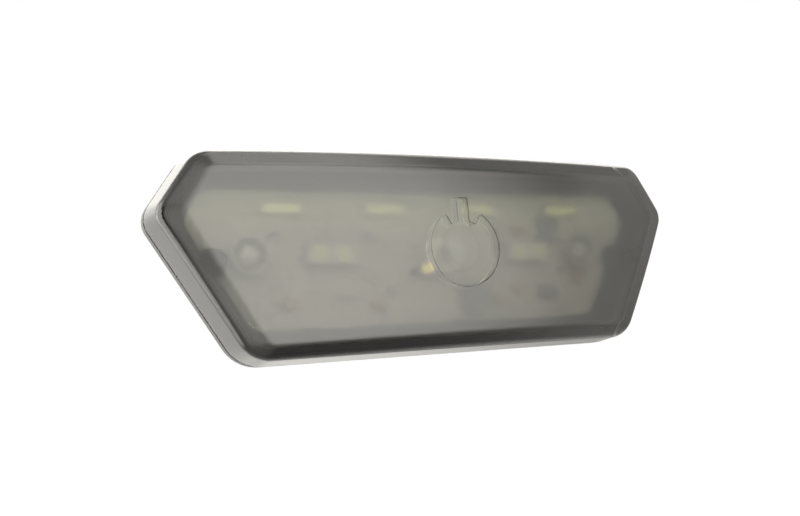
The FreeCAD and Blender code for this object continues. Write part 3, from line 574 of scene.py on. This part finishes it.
def plate_shell(loop, rows, grid, kinds, lift=None):
    """Solid between a front and a back, both curved as the lens's face. Each row moves the loop outwards
    by its first number and back by its second. The kinds are those of the front with its first two
    bands, of the sides and of the back; lift raises the front's inner points."""
    flats = [moved_loop(loop, grow) for grow, back in rows]
    count = len(loop)
    points = [np.concatenate([on_face(flat, back) for flat, (grow, back) in zip(flats, rows)])]
    bands = np.where(np.arange(len(rows) - 1) < FRONT_BANDS, kinds[0], kinds[1])
    tris, tri_kinds, total = [], [], len(points[0])
    for end, start, step, kind in ((0, 0, grid, kinds[0]), (-1, total - count, BACK_GRID, kinds[2])):
        flat, made = filled([flats[end]], step, step * GRID_CLEAR)
        placed = on_face(flat, rows[end][1])
        if end == 0 and lift is not None:
            placed[:, 1] -= lift(flat)
        points.append(placed[count:])
        tris.append(numbered(made, start, count, total, end == -1))
        tri_kinds.append(np.full(len(made), kind))
        total += len(flat) - count
    return (np.concatenate(points), tube_faces(0, len(rows), count), np.concatenate(tris),
            np.repeat(bands, count), np.concatenate(tri_kinds))


print("symbol with 1 mm more:", np.ptp(moved_loop(symbol_loop(), 1.0), axis=0).round(2), "mm across")

# %% [markdown]
# The key's front edge is softly broken, so that the joint catches a thin line of
# light, and its back is stepped in, so that the pressed key passes the seal's opening.
# Behind it come a neck, the flange, and the stem that reaches the switch. They are one
# moulding on the real light. Here each is a closed shell of its own, a hair away from
# the next, because that is simpler and looks the same.

# %% Key, flange, neck and stem
KEY_SIDE, KEY_STEM = 2, 3  # after FACE and FROSTED, which mean the same as in the cap
KEY_GRID = 0.16
BROKEN_EDGE = [(-0.03, 0), (-0.01, 0.005), (0, 0.025)]
STEP_BEFORE_BACK = 0.4
STEP_IN = 0.08
SEAL_GAP = 0.4
PART_GAP = 0.02
FLANGE_OUT = 0.8
FLANGE_THICK = 0.7
FLANGE_CLEAR = 0.01
FLANGE_SAMPLES = 120
NECK_R = 3.3
STEM_R = 1.5
STEM_CHAMFER = 0.2

step_start = WALL - STEP_BEFORE_BACK
stepped_back = [(0, step_start), (-STEP_IN, step_start + STEP_IN), (-STEP_IN, WALL)]
key_block = plate_shell(symbol_loop(), BROKEN_EDGE + stepped_back, KEY_GRID,
                        (FACE, KEY_SIDE, FROSTED), symbol_lift)

flange_front = WALL + SEAL_GAP + FLANGE_CLEAR
flange_back = flange_front + FLANGE_THICK
flange_r, flange_half, flange_top = RING_R + FLANGE_OUT, STROKE / 2 + FLANGE_OUT, BAR_TOP + FLANGE_OUT
flange_foot = math.degrees(math.asin(flange_half / flange_r))
flange_loop = np.concatenate([polar(flange_r, flange_foot, 360 - flange_foot, FLANGE_SAMPLES),
                              np.array([(-flange_half, flange_top), (flange_half, flange_top)])])
flange = plate_shell(flange_loop, [(0, flange_front), (0, flange_back)], BACK_GRID, (KEY_SIDE,) * 3)

neck_start, neck_end = CROWN_Y + WALL + PART_GAP, CROWN_Y + flange_front - PART_GAP
neck = lathe([(0, neck_start), (NECK_R, neck_start), (NECK_R, neck_end), (0, neck_end)], (0, 0), KEY_SIDE)
stem_start, stem_end = CROWN_Y + flange_back + PART_GAP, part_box("power_button")[1][1] / MM
stem = lathe([(0, stem_start), (STEM_R, stem_start), (STEM_R, stem_end - STEM_CHAMFER),
              (STEM_R - STEM_CHAMFER, stem_end), (0, stem_end)], (0, 0), KEY_STEM)
print("the stem runs from y =", round(stem_start, 2), "to", round(stem_end, 2))

# %% [markdown]
# No real surface is one even colour. The plastic, metal and ceramic here share two
# effects: fine moulding grain, and cloudy variation that stands for handling, flow and
# dust. Each could be built anew in every material, but a node group is built once and
# placed with its own scale and contrast. It reads Object coordinates and puts out a
# number only.

# %% Shared effects
CLOUD_CONTRAST = 1.6
MIX_A, MIX_B, MIX_RESULT = 6, 7, 2  # the colour sockets of a Mix node, which share their names with others


def new_group(name, inputs, output):
    """Empty shader group with float inputs (name, default) and one float output."""
    group = bpy.data.node_groups.new(name, "ShaderNodeTree")
    for label, default in inputs:
        socket = group.interface.new_socket(label, in_out="INPUT", socket_type="NodeSocketFloat")
        socket.default_value = default
    group.interface.new_socket(output, in_out="OUTPUT", socket_type="NodeSocketFloat")
    return group, group.nodes.new("NodeGroupInput"), group.nodes.new("NodeGroupOutput")


def noise_effect(name, detail, roughness):
    """Noise on Object coordinates, stretched from its middle: 0.5 + (noise - 0.5) * Contrast."""
    group, start, end = new_group(name, (("Scale", 1000.0), ("Contrast", 1.0)), "Value")
    nodes, links = group.nodes, group.links
    place = nodes.new("ShaderNodeTexCoord")
    noise = nodes.new("ShaderNodeTexNoise")
    noise.inputs["Detail"].default_value = detail
    noise.inputs["Roughness"].default_value = roughness
    less = nodes.new("ShaderNodeMath")
    less.operation = "SUBTRACT"
    less.inputs[1].default_value = 0.5
    more = nodes.new("ShaderNodeMath")
    more.operation = "MULTIPLY_ADD"
    more.inputs[2].default_value = 0.5
    more.use_clamp = True
    links.new(place.outputs["Object"], noise.inputs["Vector"])
    links.new(start.outputs["Scale"], noise.inputs["Scale"])
    links.new(noise.outputs["Fac"], less.inputs[0])
    links.new(less.outputs[0], more.inputs[0])
    links.new(start.outputs["Contrast"], more.inputs[1])
    links.new(more.outputs[0], end.inputs["Value"])
    return group


GRAIN = noise_effect("moulding_grain", detail=2.0, roughness=0.5)
CLOUD = noise_effect("cloudy_variation", detail=4.0, roughness=0.6)
print("effects:", GRAIN.name, CLOUD.name)

# %% [markdown]
# A finish is a shader whose colour and roughness drift between two values with the
# cloud. Where the real piece is grained, fine noise feeds a bump. The numbers are
# those of the piece: two shades, two roughnesses, how fine the cloud is, and how
# fine and how high, in millimetres, the grain is.

# %% Building a finish
def effect(tree, group, scale, contrast=1.0):
    """One use of a shared effect in a material; returns its output."""
    node = tree.nodes.new("ShaderNodeGroup")
    node.node_tree = group
    node.inputs["Scale"].default_value = scale
    node.inputs["Contrast"].default_value = contrast
    return node.outputs["Value"]


def colour_mix(tree, mask):
    """A Mix node between two colours by a mask."""
    mix = tree.nodes.new("ShaderNodeMix")
    mix.data_type = "RGBA"
    tree.links.new(mask, mix.inputs["Factor"])
    return mix


def spread(tree, mask, low, high):
    """A number that is low where the mask is 0 and high where it is 1."""
    node = tree.nodes.new("ShaderNodeMapRange")
    tree.links.new(mask, node.inputs["Value"])
    node.inputs["To Min"].default_value = low
    node.inputs["To Max"].default_value = high
    return node.outputs["Result"]


def finish(name, low, high, rough, cloud, grain=None, bump=0.0, **sockets):
    """Principled material: colour and roughness vary with the cloud, and the grain feeds a bump."""
    material = bpy.data.materials.new(name)
    material.use_nodes = True
    tree = material.node_tree
    shader = tree.nodes["Principled BSDF"]
    mask = effect(tree, CLOUD, cloud, CLOUD_CONTRAST)
    shades = colour_mix(tree, mask)
    shades.inputs[MIX_A].default_value = (*low, 1)
    shades.inputs[MIX_B].default_value = (*high, 1)
    tree.links.new(shades.outputs[MIX_RESULT], shader.inputs["Base Color"])
    tree.links.new(spread(tree, mask, *rough), shader.inputs["Roughness"])
    if grain:
        height = tree.nodes.new("ShaderNodeBump")
        height.inputs["Strength"].default_value = 1.0
        height.inputs["Distance"].default_value = bump * MM
        tree.links.new(effect(tree, GRAIN, grain), height.inputs["Height"])
        tree.links.new(height.outputs["Normal"], shader.inputs["Normal"])
    for socket, value in sockets.items():
        shader.inputs[socket.replace("_", " ")].default_value = value
    return material


print("contrast of the cloud:", CLOUD_CONTRAST)

# %% [markdown]
# The real cap and key are clear plastic with a smoke tint. A full simulation of light
# in such thick pieces would double every edge and need many bounces. So each skin that
# light passes carries its part of the tint, with an index near that of air, which
# leaves the board where it is. A coat over the outer skin mirrors the room as polished
# plastic does, and the rough inner skins blur the board as the frosted inside does.
# Only the outer wall has plastic's real index, and painted shade makes it dark for light
# that meets it from within. The rear rim, the inner wall and the joint round the key are
# painted near black, a painted shade such as the deep edge of a cap shows from in front,
# and the walls of the hole and the key's neck and flange can hardly be seen. The bevel and
# the posts take darker tints, painted shade as well. The stem is half see-through, and its
# pale colour and very faint glow are painted light, so that the shadowed switch behind it
# doesn't show as a dark spot in the key.

# %% Clear plastic
SMOKE = ((0.335, 0.33, 0.305), (0.365, 0.36, 0.335))
# The bevel's tint is darker than the face's: painted shade of the cap's deep edge.
SMOKE_EDGE_SHADE = ((0.285, 0.287, 0.262), (0.315, 0.317, 0.292))
SMOKE_KEY = ((0.405, 0.405, 0.372), (0.435, 0.435, 0.402))
# The posts' tint is much darker: painted shade where the board's notches are dark behind them.
SMOKE_POST_SHADE = ((0.11, 0.11, 0.10), (0.15, 0.15, 0.14))
THIN = ((0.96, 0.96, 0.95), (0.98, 0.98, 0.97))
POLISH = dict(Coat_Weight=1.0, Coat_Roughness=0.03, Coat_IOR=1.55)
WALL_SHADE_FROM_WITHIN = (0.025, 0.025, 0.022)


def clear_plastic(name, tint, rough, cloud, index, **sockets):
    """A finish that lets all light pass, tinted and bent by its index."""
    return finish(name, *tint, rough, cloud, Transmission_Weight=1.0, IOR=index, **sockets)


def dark_from_within(material, dark):
    """Painted shade: the colour of a skin is dark where light meets it from inside the plastic."""
    tree = material.node_tree
    colour = tree.nodes["Principled BSDF"].inputs["Base Color"]
    mix = colour_mix(tree, tree.nodes.new("ShaderNodeNewGeometry").outputs["Backfacing"])
    tree.links.new(colour.links[0].from_socket, mix.inputs[MIX_A])
    mix.inputs[MIX_B].default_value = (*dark, 1)
    tree.links.new(mix.outputs[MIX_RESULT], colour)


smoke_wall = clear_plastic("smoke_wall", SMOKE, (0.03, 0.05), 60.0, 1.55)
# painted shade on the inner side of the cap's outer wall
dark_from_within(smoke_wall, WALL_SHADE_FROM_WITHIN)
LENS_FINISHES = {
    FACE: clear_plastic("smoke_face", SMOKE, (0.05, 0.08), 60.0, 1.06, **POLISH),
    FROSTED: clear_plastic("smoke_frosted", SMOKE, (0.7, 0.8), 300.0, 1.08),
    SIDE: smoke_wall,
    # painted shade: near black on the rim, the inner wall and the front of the key's joint
    PAINTED_SHADE: finish("smoke_painted_shade", (0.020, 0.020, 0.018), (0.030, 0.030, 0.027), (0.6, 0.7), 300.0,
                   Specular_IOR_Level=0.0),
    CLEAR: clear_plastic("smoke_clear", THIN, (0.9, 1.0), 300.0, 1.02, Alpha=0.25),
    BEVEL: clear_plastic("smoke_bevel", SMOKE_EDGE_SHADE, (0.4, 0.5), 300.0, 1.05),
    POST: clear_plastic("smoke_post", SMOKE_POST_SHADE, (0.6, 0.7), 300.0, 1.03),
}
KEY_FINISHES = {
    FACE: clear_plastic("key_face", SMOKE_KEY, (0.06, 0.09), 80.0, 1.06, **POLISH),
    FROSTED: clear_plastic("key_frosted", SMOKE, (0.9, 1.0), 300.0, 1.08),
    KEY_SIDE: clear_plastic("key_clear", THIN, (0.9, 1.0), 300.0, 1.02, Alpha=0.05),
    # painted light: the stem's pale colour and faint glow lift the shade round the switch
    KEY_STEM: finish("key_stem_painted_light", (0.66, 0.66, 0.61), (0.72, 0.72, 0.67), (0.8, 0.9), 300.0,
                     Specular_IOR_Level=0.1, Alpha=0.5,
                     Emission_Color=(0.7, 0.7, 0.64, 1.0), Emission_Strength=0.14),
}
print("clear finishes:", len(LENS_FINISHES), "for the cap and", len(KEY_FINISHES), "for the key")

# %% [markdown]
# The cap belongs to the housing and the key to the button's body, as in the CAD model,
# so that the key moves when it is pressed. Each takes the place of its CAD node, and
# its materials stand in the order of the kinds that its faces were given.

# %% Cap and key
def by_kind(finishes):
    """Finishes in the order of their kinds."""
    return [finishes[kind] for kind in sorted(finishes)]


lens = make_piece("smoked_lens", [cap_shell] + posts, "housing", by_kind(LENS_FINISHES))
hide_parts("lens_cover")
key = make_piece("power_key", [key_block, neck, flange, stem], "button", by_kind(KEY_FINISHES))
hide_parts("power_button")

# %% [markdown]
# The rest keeps its CAD shape and gets its finish. First comes what holds the light
# together, as such inserts are usually made: near-black, spark-eroded plastic for the
# housing, rubber for the gasket and the port's cover, clear silicone for the seal, and
# blackened screws.

# %% Housing, rubber and screws
dressed = []


def dress(material, *nodes):
    """Gives CAD nodes a finish, in each of their material slots."""
    for name in nodes:
        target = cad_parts[name]
        for slot in target.material_slots:
            slot.material = material
        if not target.material_slots:
            target.data.materials.append(material)
        dressed.append(name)


dress(finish("housing_black", (0.030, 0.030, 0.028), (0.042, 0.042, 0.038), (0.38, 0.5), 250.0,
             grain=9000.0, bump=0.02), "rear_housing")
dress(finish("rubber_black", (0.016, 0.016, 0.016), (0.026, 0.026, 0.025), (0.6, 0.8), 500.0,
             grain=6000.0, bump=0.015, Specular_IOR_Level=0.15), "lens_gasket", "charge_port_cover")
dress(finish("silicone_clear", (0.88, 0.88, 0.86), (0.94, 0.94, 0.92), (0.9, 1.0), 500.0,
             Transmission_Weight=1.0, IOR=1.02), "button_seal")
dress(finish("steel_black", (0.030, 0.030, 0.032), (0.055, 0.055, 0.058), (0.3, 0.45), 900.0, Metallic=0.9),
      "housing_screws")
print("dressed so far:", dressed)

# %% [markdown]
# Through the lens the photo shows a pale lit board. Lamps could be put at each LED,
# but blurred by the lens they would only add noise. So the bars and the indicator's rod
# glow a little themselves, and the board has painted light: it glows faintly towards its
# top edge, where the bars light it. The glow grows along one of the Object coordinates.

# %% Board and lights
ROD_LIT = 0.9
BOARD_PAINTED_LIGHT = (2.5, 6.5, 0.12)


def lit_towards(material, axis, dark, lit, most):
    """Emission that grows along one of the Object coordinates, as most * (place - dark) / (lit - dark),
    with the share kept between 0 and 1."""
    tree = material.node_tree
    place = tree.nodes.new("ShaderNodeTexCoord")
    split = tree.nodes.new("ShaderNodeSeparateXYZ")
    tree.links.new(place.outputs["Object"], split.inputs["Vector"])
    fade = tree.nodes.new("ShaderNodeMapRange")
    tree.links.new(split.outputs[axis], fade.inputs["Value"])
    fade.inputs["From Min"].default_value = dark * MM
    fade.inputs["From Max"].default_value = lit * MM
    fade.inputs["To Max"].default_value = most
    tree.links.new(fade.outputs["Result"], tree.nodes["Principled BSDF"].inputs["Emission Strength"])


board_mask_and_painted_light = finish("board_mask_and_painted_light", (0.31, 0.305, 0.262), (0.52, 0.51, 0.458), (0.35, 0.5), 170.0,
                    grain=3000.0, bump=0.01, Emission_Color=(0.88, 0.92, 0.55, 1.0))
# painted light: the board glows towards its top edge, where the bars light it
lit_towards(board_mask_and_painted_light, "Z", *BOARD_PAINTED_LIGHT)
dress(board_mask_and_painted_light, "circuit_board")

light_rod = finish("light_rod", (0.93, 0.91, 0.80), (0.96, 0.94, 0.84), (0.1, 0.2), 900.0,
                   Transmission_Weight=1.0, IOR=1.1, Emission_Color=(0.95, 0.80, 0.22, 1.0))
rod_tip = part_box("indicator_light_pipe")[0][1] / MM
lit_towards(light_rod, "Y", rod_tip + ROD_LIT, rod_tip, 1.0)
dress(light_rod, "indicator_light_pipe")

dress(finish("led_body", (0.46, 0.46, 0.43), (0.54, 0.54, 0.51), (0.4, 0.5), 900.0),
      "end_led_rings", "main_led_bodies", "bar_led_bodies", "indicator_lamp")
dress(finish("led_dome", (0.56, 0.56, 0.51), (0.64, 0.64, 0.59), (0.12, 0.2), 900.0), "end_led_domes")
dress(finish("led_phosphor", (0.60, 0.63, 0.33), (0.68, 0.70, 0.42), (0.35, 0.5), 1200.0), "main_led_windows")
dress(finish("bar_phosphor", (0.84, 0.87, 0.42), (0.92, 0.94, 0.54), (0.35, 0.5), 1200.0,
             Emission_Color=(0.85, 0.95, 0.5, 1.0), Emission_Strength=0.13), "bar_led_strips")
print("the rod's tip is at y =", round(rod_tip, 2))

# %% [markdown]
# Last the small parts on and behind the board. They are blurred spots in the photo or
# hidden, so they get the finishes that such parts usually have.

# %% Switch, chips, socket and battery
dress(finish("switch_ivory", (0.66, 0.65, 0.60), (0.74, 0.73, 0.68), (0.4, 0.5), 900.0),
      "switch_case", "switch_plunger")
dress(finish("steel_plated", (0.74, 0.74, 0.74), (0.84, 0.84, 0.84), (0.3, 0.45), 900.0, Metallic=1.0),
      "switch_dome")
dress(finish("chip_epoxy", (0.22, 0.22, 0.22), (0.27, 0.27, 0.27), (0.45, 0.6), 1500.0,
             grain=9000.0, bump=0.01),
      "controller_chip", "charger_chip", "resistors", "charge_socket_tongue")
dress(finish("coil_ferrite", (0.20, 0.20, 0.195), (0.27, 0.27, 0.26), (0.5, 0.7), 1200.0), "power_coil")
dress(finish("ceramic", (0.33, 0.25, 0.17), (0.45, 0.36, 0.26), (0.4, 0.55), 1500.0), "capacitors")
dress(finish("nickel", (0.62, 0.61, 0.58), (0.74, 0.73, 0.70), (0.18, 0.32), 700.0, Metallic=1.0),
      "charge_socket_shell")
dress(finish("cell_foil", (0.50, 0.52, 0.53), (0.64, 0.66, 0.67), (0.3, 0.45), 350.0,
             grain=700.0, bump=0.03, Metallic=0.8), "battery_cell")
dress(finish("foam", (0.08, 0.08, 0.08), (0.16, 0.16, 0.16), (0.8, 0.95), 3000.0,
             grain=4000.0, bump=0.05), "battery_pad")
dress(finish("lead_red", (0.42, 0.03, 0.02), (0.55, 0.05, 0.04), (0.4, 0.5), 900.0), "battery_lead_red")
dress(finish("lead_black", (0.02, 0.02, 0.02), (0.035, 0.035, 0.035), (0.4, 0.5), 900.0),
      "battery_lead_black")
print("dressed", len(dressed), "CAD nodes")

# %% [markdown]
# The photo is a studio cut-out on white. A backdrop could be built and lit, but a white
# world is simpler and has no edges. It is seen directly, in reflections and through
# the plastic at full white, and lights the object more softly, so that pale pieces
# keep their colour.

# %% White room
SOFT_LIGHT = 0.6


def seen_rays(tree):
    """1 for rays that the camera, a gloss or a clear piece sends out, 0 for light that falls on things."""
    path = tree.nodes.new("ShaderNodeLightPath")
    result = path.outputs["Is Camera Ray"]
    for ray in ("Is Glossy Ray", "Is Transmission Ray"):
        either = tree.nodes.new("ShaderNodeMath")
        either.operation = "MAXIMUM"
        tree.links.new(result, either.inputs[0])
        tree.links.new(path.outputs[ray], either.inputs[1])
        result = either.outputs[0]
    return result


world = bpy.data.worlds.new("white_room")
bpy.context.scene.world = world
world.use_nodes = True
room = world.node_tree
strength = spread(room, seen_rays(room), SOFT_LIGHT, 1.0)
print("the room lights things at", SOFT_LIGHT, "and is seen at 1.0")

# %% [markdown]
# The room's lamps and dark screens could be real lamps and cards, but each would light
# the board as well. So they are soft round patches on the world that only gloss sees,
# and each facet of the cap mirrors the tone that it has in the photo. What gloss sees
# is also a little warm, as the photo's greys are.

# %% Lamps and screens seen in gloss
GLOSS_WARMTH = (1.0, 0.98, 0.925, 1)
PATCHES = (  # direction, angles in degrees where it is full and where it ends, strength added
    ((0.0, -0.98, 0.14), 8.0, 52.0, 3.9),      # lamp in front
    ((-0.2, -0.88, 0.42), 50.0, 80.0, 0.4),    # its wide glow
    ((0.86, -0.50, 0.10), 12.0, 40.0, 0.55),   # lamp at the right, towards the front
    ((-0.57, -0.81, 0.16), 12.0, 28.0, -1.8),  # screen in front, left
    ((-0.95, 0.12, 0.05), 33.0, 50.0, 4.2),    # lamp at the left
    ((1.0, -0.10, 0.0), 12.0, 30.0, -0.35),    # screen at the right
    ((0.60, -0.68, 0.42), 6.0, 18.0, -0.7),    # screen in front, right and above
    ((-0.22, 0.89, 0.40), 8.0, 22.0, 0.4),     # lamp behind, above
    ((0.15, -0.33, 0.93), 4.0, 24.0, 2.2),     # lamp overhead
    ((0.36, 0.42, 0.83), 14.0, 32.0, 3.2),     # lamp overhead, behind
    ((0.20, -0.66, 0.72), 4.0, 22.0, 1.3),     # lamp in front, high up
    ((0.25, -0.22, -0.94), 12.0, 32.0, -0.5),  # screen below
    ((0.42, 0.85, -0.34), 8.0, 26.0, -0.6),    # screen behind, below
    ((-0.2, 0.95, 0.0), 30.0, 60.0, 1.1),      # lamp behind
    ((0.92, 0.38, 0.10), 15.0, 45.0, -0.15),   # screen at the right, towards the back
)


def round_patch(tree, towards, inner, outer):
    """1 within the inner angle of a direction, fading smoothly to 0 at the outer angle."""
    place = tree.nodes.new("ShaderNodeTexCoord")
    dot = tree.nodes.new("ShaderNodeVectorMath")
    dot.operation = "DOT_PRODUCT"
    dot.inputs[1].default_value = Vector(towards).normalized()
    tree.links.new(place.outputs["Generated"], dot.inputs[0])
    fade = tree.nodes.new("ShaderNodeMapRange")
    fade.interpolation_type = "SMOOTHSTEP"
    fade.inputs["From Min"].default_value = math.cos(math.radians(outer))
    fade.inputs["From Max"].default_value = math.cos(math.radians(inner))
    tree.links.new(dot.outputs["Value"], fade.inputs["Value"])
    return fade.outputs["Result"]


def added_patch(tree, strength, gloss, towards, inner, outer, more):
    """The strength with one patch added: strength + gloss * patch * more."""
    patch = tree.nodes.new("ShaderNodeMath")
    patch.operation = "MULTIPLY"
    tree.links.new(gloss, patch.inputs[0])
    tree.links.new(round_patch(tree, towards, inner, outer), patch.inputs[1])
    total = tree.nodes.new("ShaderNodeMath")
    total.operation = "MULTIPLY_ADD"
    total.inputs[1].default_value = more
    tree.links.new(patch.outputs[0], total.inputs[0])
    tree.links.new(strength, total.inputs[2])
    return total.outputs[0]


gloss = room.nodes.new("ShaderNodeLightPath").outputs["Is Glossy Ray"]
warmth = colour_mix(room, gloss)
warmth.inputs[MIX_A].default_value = (1, 1, 1, 1)
warmth.inputs[MIX_B].default_value = GLOSS_WARMTH
for patch_row in PATCHES:
    strength = added_patch(room, strength, gloss, *patch_row)
sky = room.nodes["Background"]
room.links.new(warmth.outputs[MIX_RESULT], sky.inputs["Color"])
room.links.new(strength, sky.inputs["Strength"])
print("patches on the world:", len(PATCHES))

# %% [markdown]
# The world alone would light the object evenly from all sides. One large soft lamp in
# front, left and above, gives the light its direction. It isn't mirrored, because the
# patches are there for that.

# %% Lamp
LAMP_PLACE = (-200, -300, 220)
LAMP_TARGET = (0, -14, 0)
LAMP_SIZE = (260, 200)
LAMP_WATTS = 0.9

lamp_data = bpy.data.lights.new("left_softbox", "AREA")
lamp_data.shape = "RECTANGLE"
lamp_data.size, lamp_data.size_y = LAMP_SIZE[0] * MM, LAMP_SIZE[1] * MM
lamp_data.energy = LAMP_WATTS
lamp = bpy.data.objects.new("left_softbox", lamp_data)
bpy.context.scene.collection.objects.link(lamp)
place, target = Vector(LAMP_PLACE) * MM, Vector(LAMP_TARGET) * MM
lamp.location = place
lamp.rotation_euler = (target - place).to_track_quat("-Z", "Y").to_euler()
lamp.visible_glossy = False
print("the lamp stands", round((target - place).length, 2), "m from the lens")

# %% [markdown]
# The floor is a plain pale sheet. In the photo the light hangs free on white, so the
# floor lies well below it. It is made white for the rays that see it, by the same
# mask as the world, and stays matt paint for the light that falls on it.

# %% Floor
FLOOR_Z = -150.0
FLOOR_REACH = 2500.0
FLOOR_GLOW = 0.6

floor_points = np.array([(-1, -1, 0), (1, -1, 0), (1, 1, 0), (-1, 1, 0)]) * FLOOR_REACH
floor_points[:, 2] = FLOOR_Z
floor_mesh = bpy.data.meshes.new("pale_floor")
floor_mesh.from_pydata((floor_points * MM).tolist(), [], [(0, 1, 2, 3)])
floor = bpy.data.objects.new("pale_floor", floor_mesh)
bpy.context.scene.collection.objects.link(floor)
floor.visible_glossy = False
floor_pale = finish("floor_pale", (0.80, 0.80, 0.80), (0.84, 0.84, 0.84), (0.6, 0.8), 8.0,
                    Emission_Color=(1, 1, 1, 1))
floor_tree = floor_pale.node_tree
floor_seen = spread(floor_tree, seen_rays(floor_tree), 0.0, FLOOR_GLOW)
floor_tree.links.new(floor_seen, floor_tree.nodes["Principled BSDF"].inputs["Emission Strength"])
floor.data.materials.append(floor_pale)
print("the floor lies", -FLOOR_Z * MM, "m below the middle of the light")

# %% [markdown]
# The camera stands where the photo's did: in front, a little left and below, close
# enough that the left end looks clearly larger. One set by eye could match the
# outline's size, but hardly how much larger the near end looks. So its place, its turn
# and its lens were fitted together to the outline, the bevel's edges and the ring.

# %% Camera
CAMERA_PLACE = (-63.648, -119.849, -15.405)
CAMERA_RIGHT = Vector((0.88925, -0.45055, -0.07899))
CAMERA_UP = Vector((0.01526, -0.14337, 0.98955))
CAMERA_LENS = 40.27
SENSOR_WIDTH = 36.0
NEAREST, FARTHEST = 0.005, 20.0

camera_data = bpy.data.cameras.new("photo_camera")
camera_data.sensor_fit = "HORIZONTAL"
camera_data.sensor_width = SENSOR_WIDTH
camera_data.lens = CAMERA_LENS
camera_data.clip_start, camera_data.clip_end = NEAREST, FARTHEST
camera = bpy.data.objects.new("photo_camera", camera_data)
bpy.context.scene.collection.objects.link(camera)
turn = Matrix((CAMERA_RIGHT, CAMERA_UP, CAMERA_RIGHT.cross(CAMERA_UP))).transposed()
camera.matrix_world = Matrix.Translation(Vector(CAMERA_PLACE) * MM) @ turn.to_4x4()
bpy.context.scene.camera = camera
bpy.context.scene.view_settings.view_transform = "Standard"
print("camera at", [round(v / MM, 1) for v in camera.location])
